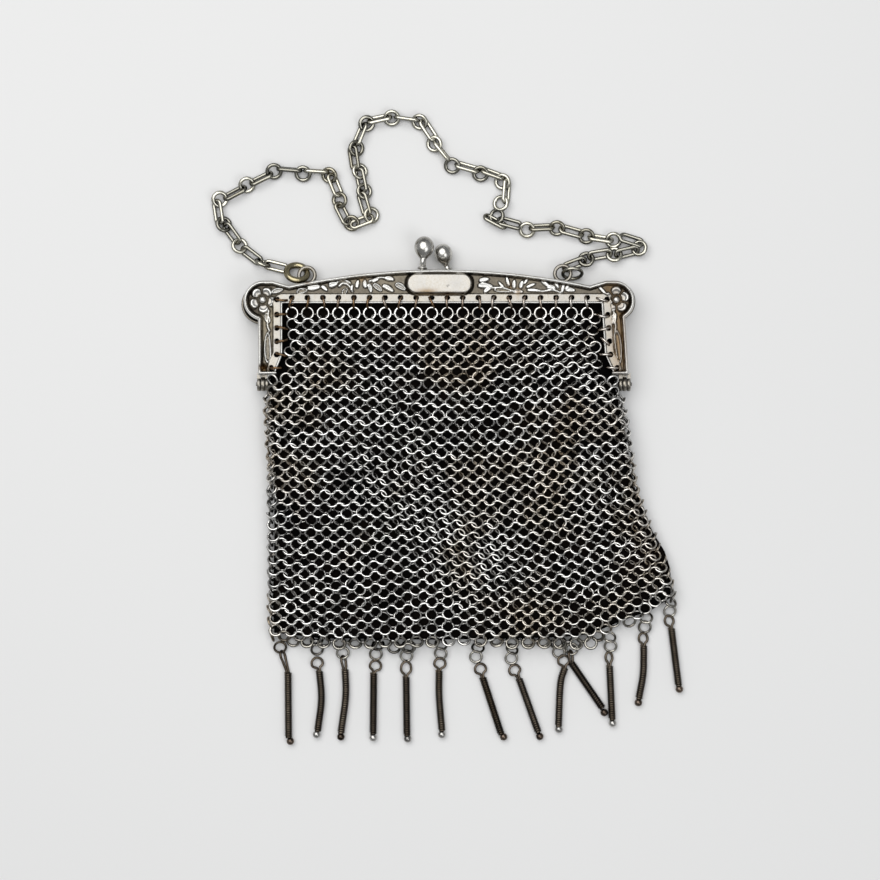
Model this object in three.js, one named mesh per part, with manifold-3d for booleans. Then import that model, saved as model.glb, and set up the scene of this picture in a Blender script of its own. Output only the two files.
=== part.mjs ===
// A metal mesh purse, lying shut on its back: a hinged frame in two stamped halves, a hollow bag of
// mail, a clasp of two knobs, a carrying chain on two jump rings and a fringe of wire-wound drops.
// Millimetres. X runs across the frame, Y from the fringe towards the chain, and Z up from the
// surface that the purse lies on. While it is built, Y = 0 is the upper edge of the frame's mouth
// and X = 0 the middle of its arch. The finished group stands on Z = 0, centred in X and Y.

import * as THREE from "three";
import { mergeVertices } from "three/addons/utils/BufferGeometryUtils.js";
import Module from "manifold-3d";

const wasm = await Module();
wasm.setup();

// Clearances
const CLEARANCE = 0.3;
const PARTING_GAP = 0.3;
const OVERRUN = 2;

// Fineness of round forms
const MERGE_TOLERANCE = 0.01;
const LOBE_STEPS = 16;
const ARCH_STEPS = 10;
const HOLE_SIDES = 6;
const RING_SIDES = 10;
const WIRE_SIDES = 5;
const JUMP_RING_SIDES = 12;
const BAR_SIDES = 6;
const KNOB_SIDES = 10;

// Frame half: a shallow channel, measured from the parting plane outwards
const HALF_DEPTH = 4.0;
const WALL = 0.8;
const CHANNEL_DEPTH = 2.2;
const PANEL_LEVEL = 3.0;
const FLANGE_LEVEL = 3.4;
const BEAD_LEVEL = 3.65;
const RELIEF_LEVEL = 3.75;
const EDGE_ROUND_HEIGHT = 1.3;
const EDGE_ROUND_WIDTH = 0.55;
const RIM_WIDTH = 1.0;
const FLANGE_WIDTH = 2.4;
const BEAD_WIDTH = 0.4;

// Frame outline
const ARCH_RADIUS = 176;
const ARCH_RISE = 8.5;
const VALLEY_X = 37.3;
const LOBE_RADIUS = 4.95;
const LOBE_HEIGHT = 0.75;
const SHOULDER_FLAT = 2.2;
const LEG_LENGTH = 17.7;
const LEG_CUT_LENGTH = 5.1;
const LEG_CUT_IN = 1.6;
const LEG_CUT_START = LEG_LENGTH - LEG_CUT_LENGTH;

// The two ends differ a little, because the right leg is bent outwards and the halves have shifted
const LEFT = {
  sign: -1, mouth: 38.95, leg: 6.15, lobeInset: 1.35, splay: 0, backOut: 0.8, backDown: 0.7, lugIn: 5.75,
};
const RIGHT = {
  sign: 1, mouth: 40.15, leg: 5.75, lobeInset: 2.4, splay: 1.2, backOut: 0.5, backDown: 0, lugIn: 9.25,
};
const SIDES = [LEFT, RIGHT];

// Pierced holes for the mail rings
const HOLE_RADIUS = 0.7;
const HOLE_EDGE = 1.45;
const TOP_HOLE_PITCH = 3.86;
const TOP_HOLE_MARGIN = 2.28;
const CORNER_HOLE_RISE = 1.0;
const LEG_HOLE_FIRST = 2.8;
const LEG_HOLE_LAST = 5.0;
const LEG_HOLE_PITCH = 3.3;
const FOOT_HOLE_RISE = 1.7;
const FOOT_HOLE_EDGE = 2.9;

// Cartouche and cast relief
const CARTOUCHE_LENGTH = 16.3;
const CARTOUCHE_HEIGHT = 5.1;
const CARTOUCHE_CENTRE = 4.95;
const CARTOUCHE_ROUND = 2.4;
const CARTOUCHE_EDGE = 0.3;
const CARTOUCHE_STEPS = 3;
const RELIEF_LAP = 0.05;
const RELIEF_FOOT = CHANNEL_DEPTH + WALL / 2;
const LEAF_LENGTH = 4.0;
const LEAF_WIDTH = 1.5;
const LEG_LEAF_LENGTH = 10.5;
const LEG_LEAF_WIDTH = 1.6;
const FLOWER_X = 19.5;
const FLOWER_PETALS = 5;
const FLOWER_RADIUS = 2.1;
const LOBE_FLOWER_RADIUS = 3.3;
const PETAL_WIDTH = 0.75;
const BOSS_RADIUS = 0.75;

// Leaves on one arm of the arch. along is a share of the arm from the cartouche to the valley, up a
// share of the sunk panel's height there, length and width shares of LEAF_LENGTH and LEAF_WIDTH.
const ARM_LEAVES = [
  { along: 0.07, up: 0.38, length: 1.1, width: 1.0, turn: 25 },
  { along: 0.16, up: 0.78, length: 0.9, width: 0.8, turn: -15 },
  { along: 0.22, up: 0.28, length: 0.9, width: 0.9, turn: -30 },
  { along: 0.56, up: 0.32, length: 1.0, width: 0.9, turn: 30 },
  { along: 0.60, up: 0.78, length: 0.9, width: 0.8, turn: -25 },
  { along: 0.81, up: 0.48, length: 1.2, width: 0.8, turn: -8 },
];

// Hinges
const BARREL_RADIUS = 1.75;
const BARREL_BELOW_LEG = 2.25;
const BARREL_DROP = LEG_LENGTH + BARREL_BELOW_LEG;
const BARREL_OVERHANG = 0.4;
const OUTER_KNUCKLE = 0.7;
const MIDDLE_KNUCKLE = 0.9;
const KNUCKLE_TAB = 1.5;
const BARREL_LENGTH = 2 * OUTER_KNUCKLE + MIDDLE_KNUCKLE + 2 * CLEARANCE;
const PIN_RADIUS = 0.55;
const PIN_PROUD = 0.35;

// Lugs and jump rings
const LUG_RADIUS = 2.0;
const LUG_WIRE = 1.0;
const LUG_RISE = 2.05;
const LUG_HEIGHT = 2.65;
const LEFT_RING = { radius: 2.85, wire: 1.25, turn: 150, tilt: 44 };
const RIGHT_RING = { radius: 2.4, wire: 0.9, turn: 0, tilt: 62 };

// Clasp knobs. Their bulb is given as shares of its radius and of its height above the collar.
const TENON_RADIUS = 0.6;
const KNOB_FOOT_RADIUS = 1.25;
const KNOB_FOOT_HEIGHT = 0.5;
const KNOB_STEM_RADIUS = 0.8;
const KNOB_COLLAR_HEIGHT = 2.0;
const KNOB_RADIUS = 2.45;
const KNOB_HEIGHT = 8.2;
const KNOB_BULB = [[0.72, 0.22], [1, 0.55], [0.85, 0.83], [0, 1]];
const FRONT_KNOB = { x: -4.3, depth: 1.9, reach: 1.0, lean: 5, tip: -8 };
const BACK_KNOB = { x: 2.1, depth: 1.9, reach: 0.84, lean: -16, tip: 12 };

// Mail bag
const MAIL_WALL = 1.4;
const BAG_HALF_WIDTH = 43.5;
const BAG_DROP = 63.2;
const BAG_TOP_LOW = 0.5;
const BAG_TOP_HIGH = 7.85;
const BAG_HEM_HIGH = 3.4;
const BAG_EDGE_ROUND = 0.5;
const BAG_FOLDS = 3;
const BAG_FOLD_DEPTH = 0.25;
const BAG_FOLD_SHARES = [0.18, 0.39, 0.61, 0.82];
const HINGE_LINE_SPARE = 1.05;

// Rows of the bag below the hinge line. down is a share of BAG_DROP, left and right are shares of
// BAG_HALF_WIDTH, and fall is the share of the front sheet's fall from the frame to the hem.
const BAG_ROWS = [
  { down: 0.022, left: 0.995, right: 1.035, fall: 0.03 },
  { down: 0.150, left: 0.998, right: 1.083, fall: 0.07 },
  { down: 0.270, left: 0.990, right: 1.113, fall: 0.32 },
  { down: 0.430, left: 0.980, right: 1.152, fall: 0.66 },
  { down: 0.590, left: 0.982, right: 1.228, fall: 0.84 },
  { down: 0.710, left: 1.003, right: 1.292, fall: 0.92 },
  { down: 0.820, left: 0.992, right: 1.358, fall: 0.95 },
  { down: 0.850, left: 0.992, right: 1.290, fall: 0.96 },
  { down: 0.905, left: 0.988, right: 1.150, fall: 0.97 },
  { down: 0.975, left: 0.985, right: 0.965, fall: 0.98 },
  { down: 1.000, left: 0.965, right: 0.830, fall: 1.00 },
];

// Fringe drops
const DROP_RING_RADIUS = 1.45;
const DROP_EYE_RADIUS = 1.2;
const DROP_WIRE = 0.6;
const DROP_NECK = 4.6;
const DROP_NECK_RADIUS = 0.42;
const DROP_BAR = 15;
const DROP_BAR_RADIUS = 0.88;
const DROP_BALL_RADIUS = 1.0;
const DROP_RING_SHOULDER = 0.7;

// How each drop lies. hem is a share of BAG_HALF_WIDTH, neck a share of DROP_NECK and bar a share of
// DROP_BAR. lean is the neck's angle from straight down, in degrees towards +X. across is how far the
// bar's lower end lies from its top, and bow how much of that it gains by bending, both as shares of
// BAG_HALF_WIDTH towards +X.
const DROPS = [
  { hem: -0.921, lean: 16, neck: 1.40, bar: 1.05, across: 0.004, bow: 0 },
  { hem: -0.707, lean: 5, neck: 1.20, bar: 1.00, across: -0.010, bow: -0.040 },
  { hem: -0.559, lean: 7, neck: 0.95, bar: 1.07, across: -0.023, bow: -0.030 },
  { hem: -0.368, lean: -6, neck: 1.08, bar: 1.01, across: -0.004, bow: 0 },
  { hem: -0.191, lean: -1, neck: 1.18, bar: 0.97, across: 0.005, bow: 0 },
  { hem: 0.006, lean: -5, neck: 0.97, bar: 1.00, across: 0.016, bow: 0.016 },
  { hem: 0.210, lean: 18, neck: 1.25, bar: 0.98, across: 0.108, bow: 0.006 },
  { hem: 0.415, lean: 20, neck: 1.40, bar: 0.92, across: 0.110, bow: 0 },
  { hem: 0.678, lean: 12, neck: 0.92, bar: 0.98, across: -0.034, bow: 0.030 },
  { hem: 0.774, lean: -2, neck: 0.92, bar: 0.78, across: 0.160, bow: 0 },
  { hem: 0.992, lean: -2, neck: 1.08, bar: 0.90, across: 0.015, bow: 0 },
  { hem: 1.186, lean: -3, neck: 1.05, bar: 0.90, across: -0.028, bow: -0.028 },
  { hem: 1.331, lean: 5, neck: 1.00, bar: 0.98, across: 0.041, bow: 0 },
];

// Carrying chain: the path that it lies in, from the left jump ring to the right one
const CHAIN_RADIUS = 1.4;
const CHAIN_SIDES = 8;
const CHAIN_STEPS = 57;
const CHAIN_ROUTE = [
  [-39.05, 9.9], [-44.4, 10.6], [-47.2, 12.5], [-50.2, 14.9], [-52.4, 17.8], [-54.3, 20.4], [-55.5, 23.4],
  [-54.9, 26.2], [-51.8, 28.3], [-48.4, 30.1], [-44.8, 31.9], [-41.5, 33.3], [-37.7, 33.8], [-34.3, 33.1],
  [-30.9, 33.5], [-28.0, 32.5], [-26.3, 30.0], [-25.1, 26.4], [-24.2, 23.0], [-22.0, 20.5], [-19.1, 20.6],
  [-17.4, 22.8], [-18.4, 25.4], [-18.9, 28.6], [-19.6, 31.8], [-20.9, 35.0], [-21.7, 38.4], [-20.8, 42.0],
  [-18.4, 45.3], [-15.1, 46.8], [-11.9, 47.2], [-8.2, 46.9], [-5.0, 45.7], [-2.9, 43.5], [-1.3, 40.6],
  [0.8, 37.9], [3.4, 35.4], [7.0, 34.4], [10.3, 33.3], [13.4, 32.7], [15.8, 30.8], [16.5, 28.3],
  [15.1, 25.8], [14.1, 23.2], [15.1, 20.9], [18.1, 19.9], [21.9, 19.1], [25.7, 19.2], [29.5, 19.2],
  [33.1, 18.5], [36.9, 17.4], [40.5, 16.9], [43.9, 16.8], [47.2, 16.7], [50.0, 15.9], [50.3, 13.9],
  [47.6, 12.6], [43.9, 12.4], [40.3, 12.5], [37.2, 11.6], [35.05, 9.15],
];

// Finishes
const SILVER = { color: 0xb9b7ae, roughness: 0.35, metalness: 1 };
const DARK_MAIL = { color: 0x5f5c57, roughness: 0.45, metalness: 1 };
const DARK_CHAIN = { color: 0x4a463d, roughness: 0.45, metalness: 1 };
const BRASS = { color: 0x9c8456, roughness: 0.45, metalness: 1 };
const BLACKENED = { color: 0x352c25, roughness: 0.55, metalness: 1 };

// From a closed geometry to a solid that can be joined and cut, and back
function solidOf(geometry) {
  const plain = geometry.clone();
  plain.deleteAttribute("normal");
  plain.deleteAttribute("uv");
  const merged = mergeVertices(plain, 1e-5);
  const mesh = new wasm.Mesh({
    numProp: 3,
    vertProperties: new Float32Array(merged.attributes.position.array),
    triVerts: new Uint32Array(merged.index.array),
  });
  mesh.merge();
  return new wasm.Manifold(mesh);
}

function geometryOf(solid) {
  const mesh = solid.asOriginal().simplify(MERGE_TOLERANCE).getMesh();
  const geometry = new THREE.BufferGeometry();
  geometry.setAttribute("position", new THREE.BufferAttribute(new Float32Array(mesh.vertProperties), 3));
  geometry.setIndex(new THREE.BufferAttribute(new Uint32Array(mesh.triVerts), 1));
  geometry.computeVertexNormals();
  return geometry;
}

function joined(solids) {
  return solids.reduce((whole, next) => whole.add(next));
}

// Mirror in the XY plane, keeping the faces turned outwards
function mirroredInZ(geometry) {
  const copy = geometry.clone().scale(1, 1, -1);
  const index = copy.index.array;
  for (let i = 0; i < index.length; i += 3) {
    [index[i + 1], index[i + 2]] = [index[i + 2], index[i + 1]];
  }
  copy.computeVertexNormals();
  return copy;
}

function prism(outline, low, high) {
  const shape = new THREE.Shape(outline);
  return new THREE.ExtrudeGeometry(shape, { depth: high - low, bevelEnabled: false }).translate(0, 0, low);
}

function roundedPrism(outline, low, high, edgeWidth, edgeHeight) {
  const settings = {
    depth: high - low - 2 * edgeHeight,
    bevelSize: edgeWidth,
    bevelOffset: -edgeWidth,
    bevelThickness: edgeHeight,
    bevelSegments: 1,
  };
  return new THREE.ExtrudeGeometry(new THREE.Shape(outline), settings).translate(0, 0, low + edgeHeight);
}

function circle(x, y, radius, sides) {
  return new THREE.EllipseCurve(x, y, radius, radius).getPoints(sides).slice(0, sides);
}

function post(x, y, radius, low, high, sides) {
  return prism(circle(x, y, radius, sides), low, high);
}

// Height of the arch's outer edge above the mouth at x
function archHeight(x, inset = 0) {
  const radius = ARCH_RADIUS - inset;
  return ARCH_RISE - ARCH_RADIUS + Math.sqrt(radius * radius - x * x);
}

// A point of one leg, x measured outwards from the middle; a bent leg leans out as it goes down
function legPoint(side, x, y) {
  return new THREE.Vector2(side.sign * (x + (side.splay * Math.max(0, -y)) / LEG_LENGTH), y);
}

function legOuter(side) {
  return side.mouth + side.leg;
}

function archOutline(inset) {
  const from = -LEFT.mouth;
  const to = RIGHT.mouth;
  const points = [new THREE.Vector2(to, -OVERRUN), new THREE.Vector2(from, -OVERRUN)];
  for (let i = 0; i <= ARCH_STEPS; i += 1) {
    const x = from + ((to - from) * i) / ARCH_STEPS;
    points.push(new THREE.Vector2(x, archHeight(x, inset)));
  }
  return points;
}

function lobeCentre(side, isBack) {
  const out = isBack ? side.backOut : 0;
  const down = isBack ? side.backDown : 0;
  const x = side.sign * (legOuter(side) - side.lobeInset + out);
  return new THREE.Vector2(x, LOBE_HEIGHT - down);
}

function shoulderOutline(side, inset, isBack) {
  const centre = lobeCentre(side, isBack);
  const top = centre.y + LOBE_RADIUS - inset;
  return [
    new THREE.Vector2(centre.x, -OVERRUN),
    new THREE.Vector2(centre.x, top),
    new THREE.Vector2(centre.x - side.sign * SHOULDER_FLAT, top),
    new THREE.Vector2(side.sign * VALLEY_X, archHeight(VALLEY_X, inset)),
    new THREE.Vector2(side.sign * VALLEY_X, -OVERRUN),
  ];
}

function legOutline(side, inset) {
  const outer = legOuter(side) - inset;
  const inner = side.mouth - OVERRUN;
  const bottom = -LEG_LENGTH + inset;
  return [
    legPoint(side, outer, LOBE_HEIGHT),
    legPoint(side, outer, 0),
    legPoint(side, outer, bottom),
    legPoint(side, inner, bottom),
    legPoint(side, inner, LOBE_HEIGHT),
  ];
}

// All outlines of a half, drawn in by inset
function halfOutlines(inset, isBack) {
  const outlines = [archOutline(inset)];
  for (const side of SIDES) {
    const centre = lobeCentre(side, isBack);
    outlines.push(circle(centre.x, centre.y, LOBE_RADIUS - inset, LOBE_STEPS));
    outlines.push(shoulderOutline(side, inset, isBack));
    outlines.push(legOutline(side, inset));
  }
  return outlines;
}

function halfPrism(inset, low, high, isBack) {
  return joined(halfOutlines(inset, isBack).map((outline) => solidOf(prism(outline, low, high))));
}

// The mouth between the legs, widened by grow
function mouthOutline(grow) {
  const below = -LEG_LENGTH - OVERRUN;
  const edge = [];
  for (const side of SIDES) {
    const points = [
      legPoint(side, side.mouth + LEG_CUT_IN + grow, below),
      legPoint(side, side.mouth + LEG_CUT_IN + grow, -LEG_LENGTH + RIM_WIDTH),
      legPoint(side, side.mouth + grow, -LEG_CUT_START),
      legPoint(side, side.mouth + grow, grow),
    ];
    edge.push(side === LEFT ? points : points.reverse());
  }
  return edge.flat();
}

function mouthPrism(grow, low, high) {
  return solidOf(prism(mouthOutline(grow), low, high));
}

// Hole places, by the same rule on both sides, as many as the mouth and the legs have room for
function holeCentres() {
  const centres = [];
  const reach = Math.min(LEFT.mouth, RIGHT.mouth) - TOP_HOLE_MARGIN;
  const topSteps = Math.round((2 * reach) / TOP_HOLE_PITCH);
  for (let i = 0; i <= topSteps; i += 1) {
    centres.push(new THREE.Vector2((i - topSteps / 2) * TOP_HOLE_PITCH, HOLE_EDGE));
  }
  for (const side of SIDES) {
    centres.push(legPoint(side, side.mouth + HOLE_EDGE, CORNER_HOLE_RISE));
    const run = LEG_LENGTH - LEG_HOLE_LAST - LEG_HOLE_FIRST;
    const legSteps = Math.round(run / LEG_HOLE_PITCH);
    for (let i = 0; i <= legSteps; i += 1) {
      centres.push(legPoint(side, side.mouth + HOLE_EDGE, -LEG_HOLE_FIRST - i * LEG_HOLE_PITCH));
    }
    centres.push(legPoint(side, side.mouth + FOOT_HOLE_EDGE, -LEG_LENGTH + FOOT_HOLE_RISE));
  }
  return centres;
}

function holes() {
  const low = CHANNEL_DEPTH - OVERRUN;
  const high = HALF_DEPTH + OVERRUN;
  return joined(holeCentres().map((at) => solidOf(post(at.x, at.y, HOLE_RADIUS, low, high, HOLE_SIDES))));
}

// Relief: lens-shaped leaves and petals, and round bosses
function leaf(x, y, length, width, degrees) {
  const lens = [[-1, 0], [0, 1], [1, 0], [0, -1]];
  const turn = THREE.MathUtils.degToRad(degrees);
  const centre = new THREE.Vector2(x, y);
  const outline = lens.map(([along, across]) =>
    new THREE.Vector2(x + (along * length) / 2, y + (across * width) / 2).rotateAround(centre, turn));
  return solidOf(prism(outline, RELIEF_FOOT, RELIEF_LEVEL));
}

function flower(x, y, radius, petals) {
  const pieces = [];
  for (let i = 0; i < petals; i += 1) {
    const degrees = 90 + (i * 360) / petals;
    const turn = THREE.MathUtils.degToRad(degrees);
    const out = (radius + BOSS_RADIUS) / 2;
    const at = [x + out * Math.cos(turn), y + out * Math.sin(turn)];
    pieces.push(leaf(...at, radius, radius * PETAL_WIDTH, degrees));
  }
  pieces.push(solidOf(post(x, y, BOSS_RADIUS, RELIEF_FOOT, RELIEF_LEVEL, HOLE_SIDES)));
  return pieces;
}

function armLeaf(side, row) {
  const start = CARTOUCHE_LENGTH / 2;
  const x = start + row.along * (VALLEY_X - start);
  const floor = FLANGE_WIDTH;
  const y = floor + row.up * (archHeight(x, RIM_WIDTH) - floor);
  return leaf(side.sign * x, y, row.length * LEAF_LENGTH, row.width * LEAF_WIDTH, side.sign * row.turn);
}

function relief(isBack) {
  const pieces = [];
  for (const side of SIDES) {
    for (const row of ARM_LEAVES) {
      pieces.push(armLeaf(side, row));
    }
    const middle = (FLANGE_WIDTH + archHeight(FLOWER_X, RIM_WIDTH)) / 2;
    pieces.push(...flower(side.sign * FLOWER_X, middle, FLOWER_RADIUS, FLOWER_PETALS));
    const centre = lobeCentre(side, isBack);
    pieces.push(...flower(centre.x, centre.y, LOBE_FLOWER_RADIUS, FLOWER_PETALS));
    const between = (legOuter(side) - RIM_WIDTH + side.mouth + FLANGE_WIDTH) / 2;
    const middleOfLeg = legPoint(side, between, -LEG_CUT_START / 2 - LOBE_RADIUS / 2);
    pieces.push(leaf(middleOfLeg.x, middleOfLeg.y, LEG_LEAF_LENGTH, LEG_LEAF_WIDTH, 90));
  }
  const flange = mouthPrism(FLANGE_WIDTH - RELIEF_LAP, -OVERRUN, HALF_DEPTH + OVERRUN);
  const panel = halfPrism(RIM_WIDTH - RELIEF_LAP, 0, HALF_DEPTH, isBack).subtract(flange);
  return joined(pieces).intersect(panel);
}

function cartouche() {
  const x = CARTOUCHE_LENGTH / 2;
  const low = CARTOUCHE_CENTRE - CARTOUCHE_HEIGHT / 2;
  const high = CARTOUCHE_CENTRE + CARTOUCHE_HEIGHT / 2;
  const round = CARTOUCHE_ROUND;
  const shape = new THREE.Shape();
  shape.absarc(x - round, high - round, round, 0, Math.PI / 2);
  shape.absarc(-x + round, high - round, round, Math.PI / 2, Math.PI);
  shape.absarc(-x + round, low + round, round, Math.PI, 1.5 * Math.PI);
  shape.absarc(x - round, low + round, round, 1.5 * Math.PI, 2 * Math.PI);
  const outline = shape.getPoints(CARTOUCHE_STEPS);
  const foot = RELIEF_FOOT - CARTOUCHE_EDGE;
  return solidOf(roundedPrism(outline, foot, HALF_DEPTH, CARTOUCHE_EDGE, CARTOUCHE_EDGE));
}

// Hinge knuckles of one half: the outer pair on the front, the middle one on the back
function barrelCentre(side) {
  return legPoint(side, legOuter(side) + BARREL_OVERHANG - BARREL_LENGTH / 2, -BARREL_DROP);
}

function rodAlongX(x, y, z, radius, length, sides) {
  const rod = new THREE.CylinderGeometry(radius, radius, length, sides).rotateZ(Math.PI / 2);
  return solidOf(rod.translate(x, y, z));
}

function knuckle(side, offset, length) {
  const centre = barrelCentre(side);
  const axis = -PARTING_GAP / 2;
  const tabLength = BARREL_DROP - LEG_LENGTH + WALL / 2;
  const tab = new THREE.BoxGeometry(length, tabLength, KNUCKLE_TAB)
    .translate(centre.x + offset, centre.y + tabLength / 2, KNUCKLE_TAB / 2);
  const barrel = rodAlongX(centre.x + offset, centre.y, axis, BARREL_RADIUS, length, RING_SIDES);
  const bore = rodAlongX(centre.x, centre.y, axis, PIN_RADIUS + CLEARANCE, 2 * BARREL_LENGTH, HOLE_SIDES);
  return barrel.add(solidOf(tab)).subtract(bore);
}

function knuckles(isBack) {
  const outer = (MIDDLE_KNUCKLE + OUTER_KNUCKLE) / 2 + CLEARANCE;
  const offsets = isBack ? [0] : [-outer, outer];
  const length = isBack ? MIDDLE_KNUCKLE : OUTER_KNUCKLE;
  return joined(SIDES.flatMap((side) => offsets.map((offset) => knuckle(side, offset, length))));
}

function lugCentre(side) {
  const x = side.mouth - side.lugIn;
  return new THREE.Vector2(side.sign * x, archHeight(x) + LUG_RISE);
}

function lug(side) {
  const at = lugCentre(side);
  const eye = ringGeometry(LUG_RADIUS, LUG_WIRE, JUMP_RING_SIDES);
  return solidOf(eye.translate(at.x, at.y, HALF_DEPTH - LUG_HEIGHT));
}

function tenonHole(knob) {
  const radius = TENON_RADIUS + CLEARANCE;
  const hole = new THREE.CylinderGeometry(radius, radius, 3 * WALL, BAR_SIDES);
  return solidOf(hole.translate(knob.x, archHeight(knob.x), knob.depth));
}

// One half of the frame, parting plane at Z = 0 and its face towards +Z
function frameHalf(isBack) {
  const outside = joined(halfOutlines(0, isBack).map((outline) =>
    solidOf(roundedPrism(outline, -HALF_DEPTH, HALF_DEPTH, EDGE_ROUND_WIDTH, EDGE_ROUND_HEIGHT))));
  const above = HALF_DEPTH + OVERRUN;
  const spare = 4 * BAG_HALF_WIDTH;
  const lower = new THREE.BoxGeometry(spare, spare, above).translate(0, 0, -above / 2);
  let half = outside.subtract(solidOf(lower));
  half = half.subtract(halfPrism(WALL, -OVERRUN, CHANNEL_DEPTH, isBack));
  const face = halfPrism(RIM_WIDTH, PANEL_LEVEL, above, isBack);
  half = half.subtract(face.subtract(mouthPrism(FLANGE_WIDTH, 0, 2 * above)));
  const flange = mouthPrism(FLANGE_WIDTH + RELIEF_LAP, 0, above);
  const flangeFace = halfPrism(RIM_WIDTH, FLANGE_LEVEL, above, isBack).intersect(flange);
  half = half.subtract(flangeFace.subtract(mouthPrism(BEAD_WIDTH, 0, 2 * above)));
  const beadFace = halfPrism(RIM_WIDTH, BEAD_LEVEL, above, isBack).intersect(flange);
  half = half.subtract(beadFace).subtract(mouthPrism(0, -OVERRUN, above)).subtract(holes());
  half = half.add(relief(isBack)).add(cartouche()).add(knuckles(isBack));
  if (isBack) {
    half = half.add(joined(SIDES.map(lug)));
  }
  half = half.subtract(tenonHole(isBack ? BACK_KNOB : FRONT_KNOB));
  return geometryOf(half);
}

// A clasp knob, its foot at the origin. Above the foot it leans sideways and tips over the parting plane.
function knobGeometry(knob) {
  const collar = KNOB_COLLAR_HEIGHT * knob.reach;
  const bulb = knob.reach * KNOB_HEIGHT - collar;
  const profile = [
    [0, -WALL], [TENON_RADIUS, -WALL], [TENON_RADIUS, 0], [KNOB_FOOT_RADIUS, 0],
    [KNOB_FOOT_RADIUS, KNOB_FOOT_HEIGHT], [KNOB_STEM_RADIUS, KNOB_FOOT_HEIGHT], [KNOB_STEM_RADIUS, collar],
    ...KNOB_BULB.map(([across, up]) => [across * KNOB_RADIUS, collar + up * bulb]),
  ];
  const points = profile.map(([radius, height]) => new THREE.Vector2(radius, height));
  const knobBody = new THREE.LatheGeometry(points, KNOB_SIDES);
  const position = knobBody.attributes.position;
  const lean = Math.tan(THREE.MathUtils.degToRad(knob.lean));
  const tip = Math.tan(THREE.MathUtils.degToRad(knob.tip));
  for (let i = 0; i < position.count; i += 1) {
    const above = Math.max(0, position.getY(i) - KNOB_FOOT_HEIGHT);
    position.setX(i, position.getX(i) + lean * above);
    position.setZ(i, position.getZ(i) + tip * above);
  }
  return knobBody;
}

function ringGeometry(radius, wire, sides) {
  return new THREE.TorusGeometry(radius, wire / 2, WIRE_SIDES, sides);
}

// Bag sections. Each row gives a section across the bag at one Y.
function bagRows() {
  const rows = [];
  const fallOf = (share) => BAG_TOP_HIGH + share * (BAG_HEM_HIGH - BAG_TOP_HIGH);
  const legRow = (y, outward, low) => {
    const reach = (side) => legPoint(side, side.mouth + outward - CLEARANCE, y).x;
    return { y, left: reach(LEFT), right: reach(RIGHT), low, high: BAG_TOP_HIGH, open: true };
  };
  rows.push(legRow(-CLEARANCE, 0, BAG_TOP_LOW));
  rows.push(legRow(-LEG_CUT_START, 0, BAG_TOP_LOW / 2));
  rows.push(legRow(-LEG_LENGTH - CLEARANCE, LEG_CUT_IN, 0));
  const hinge = -BARREL_DROP - HINGE_LINE_SPARE;
  const inside = (side) => barrelCentre(side).x - side.sign * (BARREL_LENGTH / 2 + 2 * CLEARANCE);
  rows.push({ y: hinge, left: inside(LEFT), right: inside(RIGHT), low: 0, high: fallOf(0), open: true });
  for (const row of BAG_ROWS) {
    rows.push({
      y: hinge - HINGE_LINE_SPARE - row.down * BAG_DROP,
      left: -row.left * BAG_HALF_WIDTH,
      right: row.right * BAG_HALF_WIDTH,
      low: 0,
      high: fallOf(row.fall),
      open: false,
    });
  }
  return rows;
}

// Points of one section, going round it. The faces have slight folds that run down the bag.
function bagSection(row, inside) {
  const side = inside ? (row.open ? -1 : MAIL_WALL) : 0;
  const wall = inside ? MAIL_WALL : 0;
  const left = row.left + side;
  const right = row.right - side;
  const low = row.low + wall;
  const high = row.high - wall;
  const round = Math.min(BAG_EDGE_ROUND, 0.2 * (high - low));
  const points = [];
  const foldDepth = row.open ? 0 : BAG_FOLD_DEPTH;
  const fold = (share) => (foldDepth * (Math.cos(2 * Math.PI * BAG_FOLDS * share) - 1)) / 2;
  points.push([left + round, low]);
  points.push([right - round, low]);
  points.push([right, low + round]);
  points.push([right, high - 2 * round]);
  points.push([right - 2 * round, high]);
  for (const share of BAG_FOLD_SHARES.slice().reverse()) {
    points.push([left + share * (right - left), high + fold(share)]);
  }
  points.push([left + 2 * round, high]);
  points.push([left, high - 2 * round]);
  points.push([left, low + round]);
  return points.map(([x, z]) => new THREE.Vector3(x, row.y, z));
}

// A closed body through sections that all have the same number of points
function loft(sections) {
  const count = sections[0].length;
  const positions = sections.flat().flatMap((point) => [point.x, point.y, point.z]);
  const index = [];
  for (let row = 0; row + 1 < sections.length; row += 1) {
    for (let i = 0; i < count; i += 1) {
      const next = (i + 1) % count;
      const a = row * count + i;
      const b = row * count + next;
      index.push(a, b, a + count);
      index.push(b, b + count, a + count);
    }
  }
  const cap = (section, offset, flip) => {
    const flat = section.map((point) => new THREE.Vector2(point.x, point.z));
    for (const face of THREE.ShapeUtils.triangulateShape(flat, [])) {
      const turned = flip ? face.slice().reverse() : face;
      index.push(...turned.map((corner) => offset + corner));
    }
  };
  cap(sections[0], 0, true);
  cap(sections[sections.length - 1], (sections.length - 1) * count, false);
  const geometry = new THREE.BufferGeometry();
  geometry.setAttribute("position", new THREE.Float32BufferAttribute(positions, 3));
  geometry.setIndex(index);
  return geometry;
}

function bagGeometry() {
  const rows = bagRows();
  const outside = rows.map((row) => bagSection(row, false));
  const insideRows = rows.slice(0, -1);
  const above = { ...rows[0], y: OVERRUN };
  const floor = { ...rows[rows.length - 1], y: rows[rows.length - 1].y + MAIL_WALL };
  const inside = [above, ...insideRows, floor].map((row) => bagSection(row, true));
  return geometryOf(solidOf(loft(outside)).subtract(solidOf(loft(inside))));
}

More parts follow.
